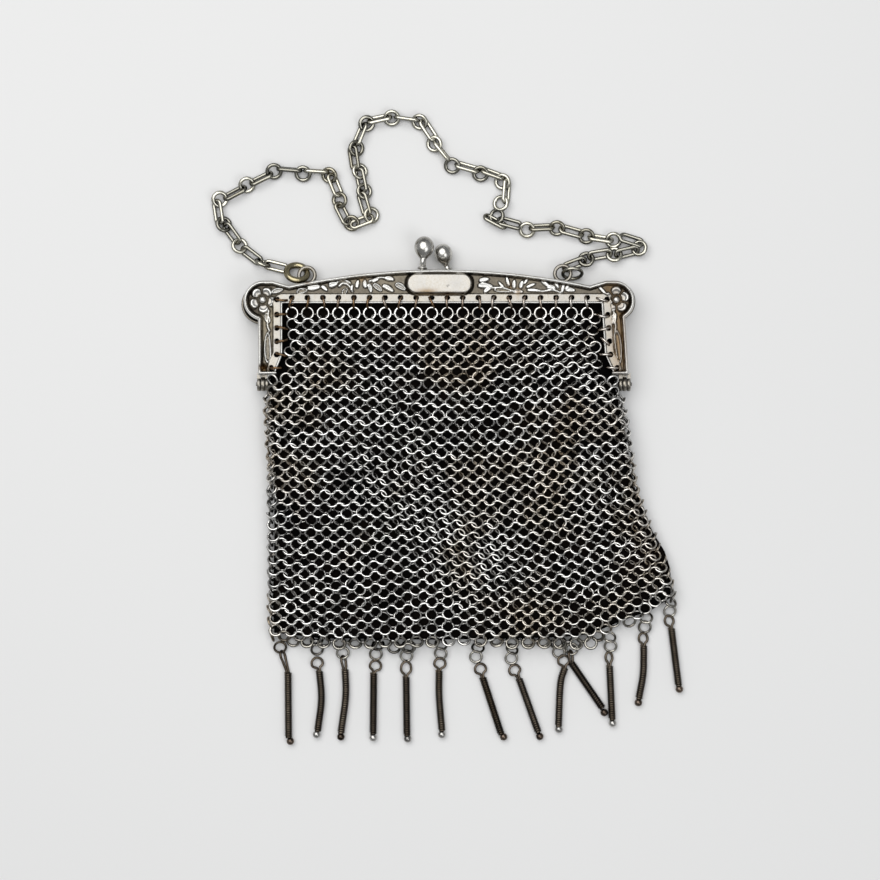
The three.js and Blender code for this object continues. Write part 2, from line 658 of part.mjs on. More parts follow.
// Height of the bag's lower edge at x: the hem, then the sloping edge up to the widest row
function hemAt(x) {
  const rows = bagRows().slice().reverse();
  let i = 0;
  while (x > rows[i].right && rows[i + 1].right > rows[i].right) {
    i += 1;
  }
  if (i === 0 || x > rows[i].right) {
    return rows[i].y;
  }
  const share = (x - rows[i - 1].right) / (rows[i].right - rows[i - 1].right);
  return THREE.MathUtils.lerp(rows[i - 1].y, rows[i].y, share);
}

// One drop, its jump ring round the origin and hanging down along -Y
function dropGeometry(drop) {
  const angle = THREE.MathUtils.degToRad(drop.lean);
  const alongNeck = (length) => new THREE.Vector2(0, -length).rotateAround(new THREE.Vector2(), angle);
  const eyeTop = DROP_RING_RADIUS + DROP_WIRE / 3;
  const toEye = alongNeck(eyeTop + DROP_EYE_RADIUS);
  const eyeEnd = alongNeck(eyeTop + 2 * DROP_EYE_RADIUS);
  const top = alongNeck(drop.neck * DROP_NECK);
  const ring = solidOf(ringGeometry(DROP_RING_RADIUS, DROP_WIRE, RING_SIDES));
  const eye = solidOf(ringGeometry(DROP_EYE_RADIUS, DROP_WIRE, RING_SIDES).translate(toEye.x, toEye.y, 0));
  const length = drop.bar * DROP_BAR;
  const neck = top.distanceTo(eyeEnd);
  const ball = length + DROP_BALL_RADIUS;
  const profile = [
    [0, -neck], [DROP_NECK_RADIUS, -neck], [DROP_NECK_RADIUS, 0], [DROP_BAR_RADIUS, 0],
    ...(drop.bow === 0 ? [] : [[DROP_BAR_RADIUS, length / 2]]), [DROP_BAR_RADIUS, length],
    [DROP_NECK_RADIUS, length], [DROP_BALL_RADIUS, ball], [0, ball + DROP_BALL_RADIUS],
  ];
  const points = profile.map(([radius, along]) => new THREE.Vector2(radius, -along)).reverse();
  const bar = new THREE.LatheGeometry(points, BAR_SIDES);
  const position = bar.attributes.position;
  const lean = Math.tan(THREE.MathUtils.degToRad(drop.lean));
  const straight = (drop.across - drop.bow) * BAG_HALF_WIDTH;
  const bow = drop.bow * BAG_HALF_WIDTH;
  for (let i = 0; i < position.count; i += 1) {
    const along = -position.getY(i);
    const share = along / length;
    const bent = along < 0 ? lean * along : straight * share + bow * share * share;
    position.setX(i, position.getX(i) + bent);
  }
  bar.translate(top.x, top.y, 0);
  return geometryOf(joined([ring, eye, solidOf(bar)]));
}

function dropPlace(drop) {
  const x = drop.hem * BAG_HALF_WIDTH;
  const reach = DROP_RING_RADIUS + DROP_WIRE / 2;
  const shoulder = DROP_RING_SHOULDER * reach;
  const under = Math.min(hemAt(x), hemAt(x - shoulder), hemAt(x + shoulder));
  return new THREE.Vector3(x, under - reach - CLEARANCE / 2, DROP_BALL_RADIUS);
}

function chainGeometry() {
  const route = CHAIN_ROUTE.map(([x, y]) => new THREE.Vector3(x, y, CHAIN_RADIUS));
  const path = new THREE.CatmullRomCurve3(route, false, "centripetal");
  const section = new THREE.Shape(circle(0, 0, CHAIN_RADIUS, CHAIN_SIDES));
  return new THREE.ExtrudeGeometry(section, { steps: CHAIN_STEPS, bevelEnabled: false, extrudePath: path });
}

const purse = new THREE.Group();

function addPiece(name, geometry, finish) {
  const mesh = new THREE.Mesh(geometry, new THREE.MeshStandardMaterial(finish));
  mesh.name = name;
  purse.add(mesh);
  return mesh;
}

function addFrame() {
  addPiece("front_frame", frameHalf(false), SILVER).position.z = HALF_DEPTH + PARTING_GAP;
  addPiece("back_frame", mirroredInZ(frameHalf(true)), SILVER).position.z = HALF_DEPTH;
}

function addKnob(name, knob, z) {
  addPiece(name, knobGeometry(knob), SILVER).position.set(knob.x, archHeight(knob.x) + CLEARANCE, z);
}

function addHingePins() {
  const length = BARREL_LENGTH + 2 * PIN_PROUD;
  for (const side of SIDES) {
    const pin = new THREE.CylinderGeometry(PIN_RADIUS, PIN_RADIUS, length, BAR_SIDES).rotateZ(Math.PI / 2);
    const name = side === LEFT ? "hinge_pin_left" : "hinge_pin_right";
    const centre = barrelCentre(side);
    addPiece(name, pin, SILVER).position.set(centre.x, centre.y, HALF_DEPTH + PARTING_GAP / 2);
  }
}

// A jump ring hangs in its lug: one point of it stands at the middle of the lug's eye
function addJumpRing(name, side, ring, finish) {
  const mesh = addPiece(name, ringGeometry(ring.radius, ring.wire, JUMP_RING_SIDES), finish);
  const at = lugCentre(side);
  const turn = THREE.MathUtils.degToRad(ring.turn);
  mesh.position.set(at.x + ring.radius * Math.cos(turn), at.y + ring.radius * Math.sin(turn), LUG_HEIGHT);
  mesh.rotation.order = "ZXY";
  mesh.rotation.z = turn;
  mesh.rotation.x = THREE.MathUtils.degToRad(ring.tilt);
}

function addDrops() {
  DROPS.forEach((drop, i) => {
    const name = "drop_" + String(i + 1).padStart(2, "0");
    addPiece(name, dropGeometry(drop), BLACKENED).position.copy(dropPlace(drop));
  });
}

// Stand the group on Z = 0 with its box centred in X and Y
function seat(group) {
  const box = new THREE.Box3().setFromObject(group, true);
  const middle = box.getCenter(new THREE.Vector3());
  group.position.set(-middle.x, -middle.y, -box.min.z);
}

addFrame();
addKnob("clasp_knob_front", FRONT_KNOB, HALF_DEPTH + PARTING_GAP + FRONT_KNOB.depth);
addKnob("clasp_knob_back", BACK_KNOB, HALF_DEPTH - BACK_KNOB.depth);
addHingePins();
addJumpRing("jump_ring_left", LEFT, LEFT_RING, BRASS);
addJumpRing("jump_ring_right", RIGHT, RIGHT_RING, DARK_CHAIN);
addPiece("carrying_chain", chainGeometry(), DARK_CHAIN);
addPiece("mail_bag", bagGeometry(), DARK_MAIL);
addDrops();
seat(purse);

export default purse;
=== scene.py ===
# A metal mesh purse lying shut on its back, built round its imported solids.
# Sizes are millimetres in the drawing's own axes: X = 0 at the middle of the frame's arch, Y = 0 at the
# upper edge of its mouth, Z = 0 on the floor. Each mesh is moved to the row frame, in metres, at the end.

import math

import bpy
import numpy as np
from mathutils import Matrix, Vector
from mathutils.kdtree import KDTree


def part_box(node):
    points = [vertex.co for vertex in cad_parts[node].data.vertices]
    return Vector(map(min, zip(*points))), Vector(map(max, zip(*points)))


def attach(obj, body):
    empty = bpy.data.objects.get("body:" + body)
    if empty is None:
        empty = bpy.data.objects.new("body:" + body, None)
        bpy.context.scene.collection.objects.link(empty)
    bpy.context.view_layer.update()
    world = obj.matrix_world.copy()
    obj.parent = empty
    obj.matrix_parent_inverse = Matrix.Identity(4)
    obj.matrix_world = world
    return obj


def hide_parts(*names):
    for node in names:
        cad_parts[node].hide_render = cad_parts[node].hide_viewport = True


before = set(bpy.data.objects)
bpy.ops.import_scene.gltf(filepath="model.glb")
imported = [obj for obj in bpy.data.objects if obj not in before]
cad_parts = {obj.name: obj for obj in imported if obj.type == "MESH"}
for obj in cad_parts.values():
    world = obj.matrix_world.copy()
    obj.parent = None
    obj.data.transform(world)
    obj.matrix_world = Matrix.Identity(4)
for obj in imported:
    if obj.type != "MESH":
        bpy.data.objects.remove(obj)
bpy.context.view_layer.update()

MM = 0.001

# The left hinge pin ties the drawing's axes to the row frame
HINGE_PIN_X = -44.05
HINGE_PIN_Y = -19.95
pin_low, pin_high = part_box("hinge_pin_left")
SHIFT = np.array([
    (pin_low.x + pin_high.x) / 2 / MM - HINGE_PIN_X,
    (pin_low.y + pin_high.y) / 2 / MM - HINGE_PIN_Y,
    0,
])

# Frame halves, measured from their parting planes
BACK_PARTING = 4.0
FRONT_PARTING = 4.3
RIM_LEVEL = 4.0
PANEL_LEVEL = 3.0
FLANGE_LEVEL = 3.4
RELIEF_HEIGHT = 0.85
EDGE_ROUND_WIDTH = 0.55
EDGE_ROUND_HEIGHT = 1.3
RIM_WIDTH = 0.9
RIM_GROOVE = 0.3
FLANGE_WIDTH = 2.4
BEAD_WIDTH = 0.5
SHEET_THICKNESS = 0.55
RIM_CREST = RIM_WIDTH * 0.55
GROOVE_DEPTH = 0.35
MOAT_MIDDLE = 0.2
PLATE_BELOW_RIM = 0.05
PLATE_FALL = 0.5
PLATE_EDGE = 0.55
SEAM_BEAD_DEPTH = 0.3

# How bright rubbing has made each part of the frame, from 0 to 1
RUBBED = {"ground": 0.2, "flange": 0.56, "bead": 0.9, "rim": 0.92, "plate": 0.6, "skirt": 0.45, "knuckle": 0.5}

# Grid that a half is cut from: how far it reaches, and its steps in front and at the back
SHEET_REACH = 52.0
FRONT_STEP = 0.15
BACK_STEP = 0.2
HOLE_STEPS = 60
SKIRT_LEVELS = (0.55, 0.0)

# Frame outline
ARCH_RADIUS = 176
ARCH_RISE = 8.5
VALLEY_X = 37.3
LOBE_RADIUS = 4.95
LOBE_HEIGHT = 0.75
SHOULDER_FLAT = 2.2
LEG_LENGTH = 17.7
LEG_CUT_START = 12.6
LEG_CUT_IN = 1.6
OUTLINE_PROBE = 0.04
LEFT = {
    "sign": -1, "mouth": 38.95, "leg": 6.15, "lobe_inset": 1.35, "splay": 0,
    "back_out": 0.8, "back_down": 0.7, "lug": 33.2,
}
RIGHT = {
    "sign": 1, "mouth": 40.15, "leg": 5.75, "lobe_inset": 2.4, "splay": 1.2,
    "back_out": 0.5, "back_down": 0, "lug": 30.9,
}
SIDES = (LEFT, RIGHT)

# Pierced holes
HOLE_RADIUS = 0.7
HOLE_EDGE = 1.45
TOP_HOLES = 20
TOP_HOLE_PITCH = 3.86

# Mail
MAIL_RADIUS = 1.46
MAIL_WIRE = 0.3
MAIL_COLUMNS = 52
MAIL_TILT_UP = 27
MAIL_TILT_DOWN = 34
HEM_WIRE = 0.36
BACK_TILT = 28
BACK_YAW = 10
MAIL_FRONT_TOP = 7.0
MAIL_FRONT_HEM = 3.6
MAIL_BACK = 1.15


def place(points):
    """Drawing millimetres to row metres."""
    return (np.asarray(points, float) + SHIFT) * MM


def smooth(value):
    value = np.clip(value, 0, 1)
    return value * value * (3 - 2 * value)


# Meshes


def piece_from(name, points, faces, material, edges=()):
    """A mesh object from drawing points, its object at the origin."""
    mesh = bpy.data.meshes.new(name)
    mesh.from_pydata(place(points).tolist(), list(edges), faces)
    mesh.update()
    mesh.shade_smooth()
    if material is not None:
        mesh.materials.append(material)
    made = bpy.data.objects.new(name, mesh)
    bpy.context.scene.collection.objects.link(made)
    return made


def number_attribute(made, name, values):
    attribute = made.data.attributes.new(name, "FLOAT", "POINT")
    attribute.data.foreach_set("value", np.asarray(values, np.float32))


def join(name, parts):
    """One object from several, with each part's own materials."""
    for part in parts:
        part.select_set(True)
    with bpy.context.temp_override(
            active_object=parts[0], selected_editable_objects=parts, selected_objects=parts):
        bpy.ops.object.join()
    parts[0].name = name
    parts[0].data.name = name
    return parts[0]


def finish_piece(made, slot, *nodes):
    """Rides a finished piece on the purse and hides the imported parts that it stands for."""
    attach(made, "root")
    if nodes:
        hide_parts(*nodes)
    return made


def turned_body(name, profile, base, axis, sides, material):
    """A lathe body. profile is (radius, height) from base along axis."""
    axis = Vector(axis).normalized()
    across = axis.orthogonal().normalized()
    other = axis.cross(across)
    points = []
    for radius, height in profile:
        for i in range(sides):
            angle = 2 * math.pi * i / sides
            spoke = across * math.cos(angle) + other * math.sin(angle)
            points.append(Vector(base) + axis * height + spoke * radius)
    faces = []
    for row in range(len(profile) - 1):
        for i in range(sides):
            j = (i + 1) % sides
            a = row * sides
            faces.append((a + i, a + j, a + sides + j, a + sides + i))
    faces.append(tuple(reversed(range(sides))))
    last = (len(profile) - 1) * sides
    faces.append(tuple(range(last, last + sides)))
    return piece_from(name, points, faces, material)


def curve_through(points, steps):
    """Points of a smooth curve through the given ones."""
    points = np.asarray(points, float)
    before = 2 * points[0] - points[1]
    after = 2 * points[-1] - points[-2]
    padded = np.vstack([before, points, after])
    made = []
    for i in range(1, len(padded) - 2):
        a, b, c, d = padded[i - 1:i + 3]
        for step in range(steps):
            t = step / steps
            made.append(0.5 * (
                2 * b + (c - a) * t + (2 * a - 5 * b + 4 * c - d) * t ** 2
                + (3 * b - a - 3 * c + d) * t ** 3))
    made.append(points[-1])
    return np.array(made)


def wire_along(name, points, radius, sides, material, closed=False):
    """A round wire that follows points."""
    points = np.asarray(points, float)
    count = len(points)
    if closed:
        tangents = np.roll(points, -1, 0) - np.roll(points, 1, 0)
    else:
        tangents = np.gradient(points, axis=0)
    tangents /= np.linalg.norm(tangents, axis=1)[:, None]
    normal = Vector(tangents[0]).orthogonal().normalized()
    rings = []
    for i in range(count):
        tangent = Vector(tangents[i])
        normal = (normal - tangent * normal.dot(tangent)).normalized()
        side = tangent.cross(normal)
        for k in range(sides):
            angle = 2 * math.pi * k / sides
            rings.append(Vector(points[i]) + (normal * math.cos(angle) + side * math.sin(angle)) * radius)
    faces = []
    for i in range(count if closed else count - 1):
        j = (i + 1) % count
        for k in range(sides):
            m = (k + 1) % sides
            faces.append((i * sides + k, i * sides + m, j * sides + m, j * sides + k))
    if not closed:
        faces.append(tuple(reversed(range(sides))))
        faces.append(tuple(range((count - 1) * sides, count * sides)))
    return piece_from(name, rings, faces, material)


# Shader maths


class Value:
    """A number that comes out of a shader node, for sums written as expressions."""

    def __init__(self, tree, socket):
        self.tree = tree
        self.socket = socket

    def sum_node(self, operation, first, second):
        node = self.tree.nodes.new("ShaderNodeMath")
        node.operation = operation
        for socket, term in zip(node.inputs, (first, second)):
            if isinstance(term, Value):
                self.tree.links.new(term.socket, socket)
            else:
                socket.default_value = term
        return Value(self.tree, node.outputs[0])

    def __add__(self, other):
        return self.sum_node("ADD", self, other)

    __radd__ = __add__

    def __sub__(self, other):
        return self.sum_node("SUBTRACT", self, other)

    def __rsub__(self, other):
        return self.sum_node("SUBTRACT", other, self)

    def __mul__(self, other):
        return self.sum_node("MULTIPLY", self, other)

    __rmul__ = __mul__


class Finish:
    """A material with a Principled surface, and one method for every other node."""

    def __init__(self, name, **constants):
        self.material = bpy.data.materials.new(name)
        self.material.use_nodes = True
        self.tree = self.material.node_tree
        self.surface = self.tree.nodes["Principled BSDF"]
        for socket, value in constants.items():
            self.surface.inputs[socket.replace("_", " ")].default_value = value

    def node(self, kind, settings=None, inputs=None, output=0):
        node = self.tree.nodes.new(kind)
        for setting, value in (settings or {}).items():
            if setting == "stops":
                ramp = node.color_ramp
                while len(ramp.elements) < len(value):
                    ramp.elements.new(0.5)
                for element, (position, colour) in zip(ramp.elements, value):
                    element.position = position
                    element.color = (*colour, 1)
            else:
                setattr(node, setting, value)
        for socket, value in (inputs or {}).items():
            self.feed(node.inputs[socket], value)
        return Value(self.tree, node.outputs[output])

    def feed(self, socket, value):
        if isinstance(value, Value):
            self.tree.links.new(value.socket, socket)
        else:
            socket.default_value = value

    def set(self, **inputs):
        for socket, value in inputs.items():
            self.feed(self.surface.inputs[socket.replace("_", " ")], value)

    def place_on_object(self):
        return self.node("ShaderNodeTexCoord", output=3)

    def noise(self, scale, detail=3.0, roughness=0.6):
        return self.node(
            "ShaderNodeTexNoise",
            inputs={
                "Vector": self.place_on_object(), "Scale": scale, "Detail": detail, "Roughness": roughness,
            })

    def attribute(self, name):
        return self.node("ShaderNodeAttribute", {"attribute_name": name}, output=2)

    def ramp(self, factor, stops):
        return self.node("ShaderNodeValToRGB", {"stops": stops}, {"Fac": factor})

    def mixed(self, factor, low, high):
        node = self.tree.nodes.new("ShaderNodeMix")
        node.data_type = "RGBA"
        self.feed(node.inputs[0], factor)
        for socket, colour in ((node.inputs[6], low), (node.inputs[7], high)):
            self.feed(socket, colour if isinstance(colour, Value) else (*colour, 1))
        return Value(self.tree, node.outputs[2])

    def span(self, value, low, high, to_low=0.0, to_high=1.0):
        return self.node(
            "ShaderNodeMapRange", {},
            {"Value": value, "From Min": low, "From Max": high, "To Min": to_low, "To Max": to_high})

    def bump(self, height, strength, distance):
        self.set(Normal=self.node(
            "ShaderNodeBump", {}, {"Height": height, "Strength": strength, "Distance": distance}))


def frame_finish():
    """Cast silver, dark in the low ground and bright where it is rubbed."""
    look = Finish("frame_silver", Metallic=1.0)
    relief = look.attribute("relief")
    stain = look.noise(260, 4)
    grain = look.noise(1900, 2)
    wear = relief + (stain - 0.5) * 0.3 + (grain - 0.5) * 0.34
    colour = look.ramp(look.span(wear, 0.0, 1.0), [
        (0.0, (0.012, 0.010, 0.008)), (0.22, (0.10, 0.088, 0.07)), (0.45, (0.24, 0.22, 0.185)),
        (0.7, (0.42, 0.41, 0.392)), (0.95, (0.66, 0.655, 0.63))])
    tint = look.span(look.noise(60, 3), 0.5, 0.72) * 0.3
    browned = look.mixed(look.attribute("stained") * 0.9, colour, (0.16, 0.10, 0.045))
    look.set(
        Base_Color=look.mixed(tint, browned, (0.30, 0.26, 0.18)),
        Roughness=look.span(stain + (grain - 0.5) * 0.6, 0.3, 0.75, 0.26, 0.5))
    look.bump(grain + stain * 0.6, 0.4, 0.00006)
    return look.material


def wire_finish(name, dark, light, stain_colour, low, high):
    """Tarnished wire: each ring its own tone, with stains that run over several."""
    look = Finish(name, Metallic=1.0)
    # The tone attribute is each ring's own tone times painted light: a painted sheen where the wire faces out,
    # and painted shade on its flanks and on the sunken half of mail rings.
    tone = look.attribute("tone")
    stain = look.noise(90, 4)
    fine = look.noise(1800, 2)
    base = look.mixed(look.span(tone + (stain - 0.5) * 0.6 * tone, 0.05, 0.8), dark, light)
    tint = look.span(look.noise(55, 3), 0.5, 0.68)
    look.set(
        Base_Color=look.mixed(tint * 0.55, base, stain_colour),
        Roughness=look.span(tone * 0.5 + stain * 0.5 + (fine - 0.5) * 0.3, 0.2, 0.8, low, high))
    look.bump(fine, 0.3, 0.00004)
    return look.material


def polished_finish(name, dark, light, rough):
    """Plain metal with soft cloudy wear."""
    look = Finish(name, Metallic=1.0)
    cloud = look.noise(260, 4)
    fine = look.noise(2200, 2)
    look.set(
        Base_Color=look.mixed(look.span(cloud, 0.35, 0.62), dark, light),
        Roughness=look.span(cloud + (fine - 0.5) * 0.4, 0.3, 0.7, rough, rough + 0.2))
    look.bump(fine, 0.25, 0.00004)
    return look.material


def floor_finish():
    look = Finish("pale_floor", Roughness=0.9)
    cloud = look.noise(3, 3)
    look.set(Base_Color=look.mixed(cloud, (0.70, 0.70, 0.698), (0.73, 0.73, 0.728)))
    return look.material


def lining_shade_finish():
    """Near-black woven cloth with almost no sheen, slightly brown where it has faded. It is a guessed lining,
    made this dark so that it also paints the shade seen between the rings.
    """
    look = Finish("lining_shade_cloth", Roughness=0.95, Specular_IOR_Level=0.02)
    fade = look.noise(120, 4)
    weave = look.noise(3200, 1)
    look.set(Base_Color=look.mixed(look.span(fade, 0.35, 0.75), (0.002, 0.002, 0.002), (0.007, 0.005, 0.004)))
    look.bump(weave, 0.4, 0.00005)
    return look.material


FRAME_SILVER = frame_finish()
LINING_SHADE_CLOTH = lining_shade_finish()
MAIL_SILVER = wire_finish(
    "mail_silver", (0.022, 0.019, 0.016), (0.93, 0.92, 0.89), (0.42, 0.34, 0.24), 0.16, 0.32)
HANGING_WIRE = wire_finish(
    "hanging_wire", (0.16, 0.10, 0.055), (0.74, 0.72, 0.68), (0.36, 0.22, 0.12), 0.18, 0.36)
CHAIN_DARK = wire_finish(
    "chain_dark", (0.012, 0.011, 0.008), (0.66, 0.64, 0.55), (0.2, 0.17, 0.1), 0.12, 0.3)
DROP_WIRE = wire_finish(
    "drop_wire", (0.012, 0.01, 0.008), (0.5, 0.48, 0.43), (0.15, 0.105, 0.06), 0.14, 0.32)
CLASP_SILVER = polished_finish("clasp_silver", (0.3, 0.29, 0.265), (0.62, 0.61, 0.58), 0.14)
BRASS_WIRE = wire_finish(
    "brass_wire", (0.03, 0.025, 0.012), (0.6, 0.53, 0.34), (0.3, 0.25, 0.12), 0.16, 0.32)
BLACKENED_WIRE = wire_finish(
    "blackened_wire", (0.008, 0.006, 0.005), (0.12, 0.098, 0.075), (0.05, 0.035, 0.02), 0.14, 0.32)
BALL_SILVER = polished_finish("ball_silver", (0.08, 0.075, 0.068), (0.45, 0.44, 0.42), 0.12)
BALL_DARK = polished_finish("ball_dark", (0.02, 0.015, 0.011), (0.15, 0.115, 0.09), 0.14)


# Geometry Nodes


class NodeGroup:
    """A Geometry Nodes tree with named inputs."""

    def __init__(self, name, sizes):
        self.tree = bpy.data.node_groups.new(name, "GeometryNodeTree")
        add = self.tree.interface.new_socket
        add("Geometry", in_out="INPUT", socket_type="NodeSocketGeometry")
        self.identifiers = {}
        for size, kind in sizes.items():
            self.identifiers[size] = add(size, in_out="INPUT", socket_type="NodeSocket" + kind).identifier
        add("Geometry", in_out="OUTPUT", socket_type="NodeSocketGeometry")
        self.start = self.tree.nodes.new("NodeGroupInput")
        self.end = self.tree.nodes.new("NodeGroupOutput")

    def size(self, name):
        return self.start.outputs[name]

    def node(self, kind, settings=None, inputs=None):
        node = self.tree.nodes.new(kind)
        for setting, value in (settings or {}).items():
            setattr(node, setting, value)
        for socket, value in (inputs or {}).items():
            if isinstance(value, bpy.types.NodeSocket):
                self.tree.links.new(value, node.inputs[socket])
            else:
                node.inputs[socket].default_value = value
        return node

    def sums(self, operation, first, second):
        return self.node("ShaderNodeMath", {"operation": operation}, {0: first, 1: second}).outputs[0]

    def finish(self, geometry, material):
        """Realize Instances and Set Material, then the tree's output."""
        real = self.node("GeometryNodeRealizeInstances", {}, {"Geometry": geometry})
        shaded = self.node("GeometryNodeSetShadeSmooth", {}, {"Geometry": real.outputs[0]})
        coated = self.node(
            "GeometryNodeSetMaterial", {}, {"Geometry": shaded.outputs[0], "Material": material})
        self.tree.links.new(coated.outputs[0], self.end.inputs[0])

    def apply(self, name, carrier, **sizes):
        """Runs the tree on a carrier object and returns a plain mesh object."""
        modifier = carrier.modifiers.new(self.tree.name, "NODES")
        modifier.node_group = self.tree
        for size, value in sizes.items():
            modifier[self.identifiers[size.replace("_", " ")]] = value
        graph = bpy.context.evaluated_depsgraph_get()
        mesh = bpy.data.meshes.new_from_object(carrier.evaluated_get(graph))
        mesh.name = name
        old = carrier.data
        carrier.modifiers.remove(modifier)
        bpy.data.objects.remove(carrier)
        bpy.data.meshes.remove(old)
        made = bpy.data.objects.new(name, mesh)
        bpy.context.scene.collection.objects.link(made)
        return made


def link_tree():
    """A wire link on every point: round, or drawn out by Straight. Its turn is the point's own."""
    group = NodeGroup("wire_links", {
        "Radius": "Float", "Straight": "Float", "Wire": "Float",
        "Ring Sides": "Int", "Wire Sides": "Int", "Material": "Material",
    })
    ring = group.node(
        "GeometryNodeCurvePrimitiveCircle", {},
        {"Resolution": group.size("Ring Sides"), "Radius": group.size("Radius")})
    position = group.node("GeometryNodeInputPosition")
    apart = group.node("ShaderNodeSeparateXYZ", {}, {0: position.outputs[0]})
    side = group.sums("SIGN", apart.outputs[0], 0.0)
    half = group.sums("MULTIPLY", group.sums("MULTIPLY", side, group.size("Straight")), 0.5)
    offset = group.node("ShaderNodeCombineXYZ", {}, {0: half})
    drawn = group.node(
        "GeometryNodeSetPosition", {}, {"Geometry": ring.outputs[0], "Offset": offset.outputs[0]})
    section = group.node(
        "GeometryNodeCurvePrimitiveCircle", {},
        {"Resolution": group.size("Wire Sides"), "Radius": group.size("Wire")})
    wire = group.node(
        "GeometryNodeCurveToMesh", {}, {"Curve": drawn.outputs[0], "Profile Curve": section.outputs[0]})
    turn = group.node(
        "GeometryNodeInputNamedAttribute", {"data_type": "FLOAT_VECTOR"}, {"Name": "turn"})
    rotation = group.node("FunctionNodeEulerToRotation", {}, {0: turn.outputs[0]})
    copies = group.node("GeometryNodeInstanceOnPoints", {}, {
        "Points": group.start.outputs[0], "Instance": wire.outputs[0],
        "Rotation": rotation.outputs[0],
    })
    group.finish(copies.outputs[0], group.size("Material"))
    return group


def winding_tree():
    """Wire wound closely round the path that it is given, over a plain core."""
    group = NodeGroup("wound_wire", {
        "Points": "Int", "Turn Angle": "Float", "Coil": "Float", "Wire": "Float", "Core": "Float",
        "Wire Sides": "Int", "Material": "Material",
    })
    path = group.node("GeometryNodeMeshToCurve", {}, {0: group.start.outputs[0]})
    fine = group.node(
        "GeometryNodeResampleCurve", {}, {"Curve": path.outputs[0], "Count": group.size("Points")})
    index = group.node("GeometryNodeInputIndex").outputs[0]
    angle = group.sums("MULTIPLY", index, group.size("Turn Angle"))
    tangent = group.node("GeometryNodeInputTangent").outputs[0]
    normal = group.node("GeometryNodeInputNormal").outputs[0]
    side = group.node("ShaderNodeVectorMath", {"operation": "CROSS_PRODUCT"}, {0: tangent, 1: normal})
    parts = []
    for direction, wave in ((normal, "COSINE"), (side.outputs[0], "SINE")):
        reach = group.sums("MULTIPLY", group.sums(wave, angle, 0.0), group.size("Coil"))
        parts.append(group.node(
            "ShaderNodeVectorMath", {"operation": "SCALE"}, {0: direction, "Scale": reach}).outputs[0])
    offset = group.node("ShaderNodeVectorMath", {"operation": "ADD"}, {0: parts[0], 1: parts[1]})
    coil = group.node(
        "GeometryNodeSetPosition", {}, {"Geometry": fine.outputs[0], "Offset": offset.outputs[0]})
    both = group.node("GeometryNodeJoinGeometry")
    for curve, radius in ((coil.outputs[0], group.size("Wire")), (path.outputs[0], group.size("Core"))):
        section = group.node(
            "GeometryNodeCurvePrimitiveCircle", {},
            {"Resolution": group.size("Wire Sides"), "Radius": radius})
        wire = group.node(
            "GeometryNodeCurveToMesh", {},
            {"Curve": curve, "Profile Curve": section.outputs[0], "Fill Caps": True})
        group.tree.links.new(wire.outputs[0], both.inputs[0])
    group.finish(both.outputs[0], group.size("Material"))
    return group


LINKS = link_tree()
WINDING = winding_tree()


def euler_of(matrices):
    """XYZ Euler angles of many rotation matrices at once."""
    return np.stack([
        np.arctan2(matrices[:, 2, 1], matrices[:, 2, 2]),
        -np.arcsin(np.clip(matrices[:, 2, 0], -1, 1)),
        np.arctan2(matrices[:, 1, 0], matrices[:, 0, 0]),
    ], axis=1)


def turns_about(axis, angles):
    """Rotation matrices about X, Y or Z, one for each angle in radians."""
    matrices = np.zeros((len(angles), 3, 3))
    i, j = {"X": (1, 2), "Y": (2, 0), "Z": (0, 1)}[axis]
    k = 3 - i - j
    matrices[:, k, k] = 1
    matrices[:, i, i] = np.cos(angles)
    matrices[:, j, j] = np.cos(angles)
    matrices[:, i, j] = -np.sin(angles)
    matrices[:, j, i] = np.sin(angles)
    return matrices


# Painted light on wires: how much of its tone a wire keeps as painted shade on its flanks, and where that
# shade turns into a painted sheen.
FLANK_SHADED_TONE = 0.08
FLANK_START = 0.36
FLANK_SPAN = 0.5


def links_at(name, points, matrices, tones, material, radius, wire, sides, wire_sides=6, straight=0.0,
             outward=None, sunk_shade=0.0):
    """Links on points, each turned by its own matrix. outward is the way each one's painted sheen faces;
    painted shade darkens its flanks and, as far as asked, the half that sinks away from outward.
    """
    carrier = piece_from(name + "_points", points, [], None)
    turn = carrier.data.attributes.new("turn", "FLOAT_VECTOR", "POINT")
    turn.data.foreach_set("vector", euler_of(matrices).astype(np.float32).ravel())
    number_attribute(carrier, "tone", tones)
    made = LINKS.apply(
        name, carrier, Radius=radius * MM, Straight=straight * MM, Wire=wire * MM,
        Ring_Sides=sides, Wire_Sides=wire_sides, Material=material)
    count = len(points)
    if outward is None:
        outward = np.tile([0.0, 0.0, 1.0], (count, 1))
    corners = vector_rows(made.data.vertices, "co").reshape(count, -1, 3) - place(points)[:, None, :]
    out = np.einsum("ijk,ik->ij", corners, outward) / (radius * MM)
    facing = np.einsum(
        "ijk,ik->ij", vector_rows(made.data.vertex_normals, "vector").reshape(count, -1, 3), outward)
    # Painted light: a sheen where the wire faces outward, and painted shade on its flanks and on the half that
    # lies behind its neighbours.
    tone_and_shade = painted_light_by_facing(facing) * (1 - sunk_shade * (1 - smooth((out + 0.22) / 0.45)))
    tone_and_shade = np.asarray(tones)[:, None] * tone_and_shade
    made.data.attributes["tone"].data.foreach_set("value", tone_and_shade.astype(np.float32).ravel())
    return made


def vector_rows(items, name):
    values = np.empty(len(items) * 3)
    items.foreach_get(name, values)
    return values.reshape(-1, 3)


def painted_light_by_facing(facing):
    """Painted light on a wire: a painted sheen on the faces that look along outward, either way, and painted
    shade on its flanks.
    """
    return FLANK_SHADED_TONE + (1 - FLANK_SHADED_TONE) * smooth((np.abs(facing) - FLANK_START) / FLANK_SPAN)


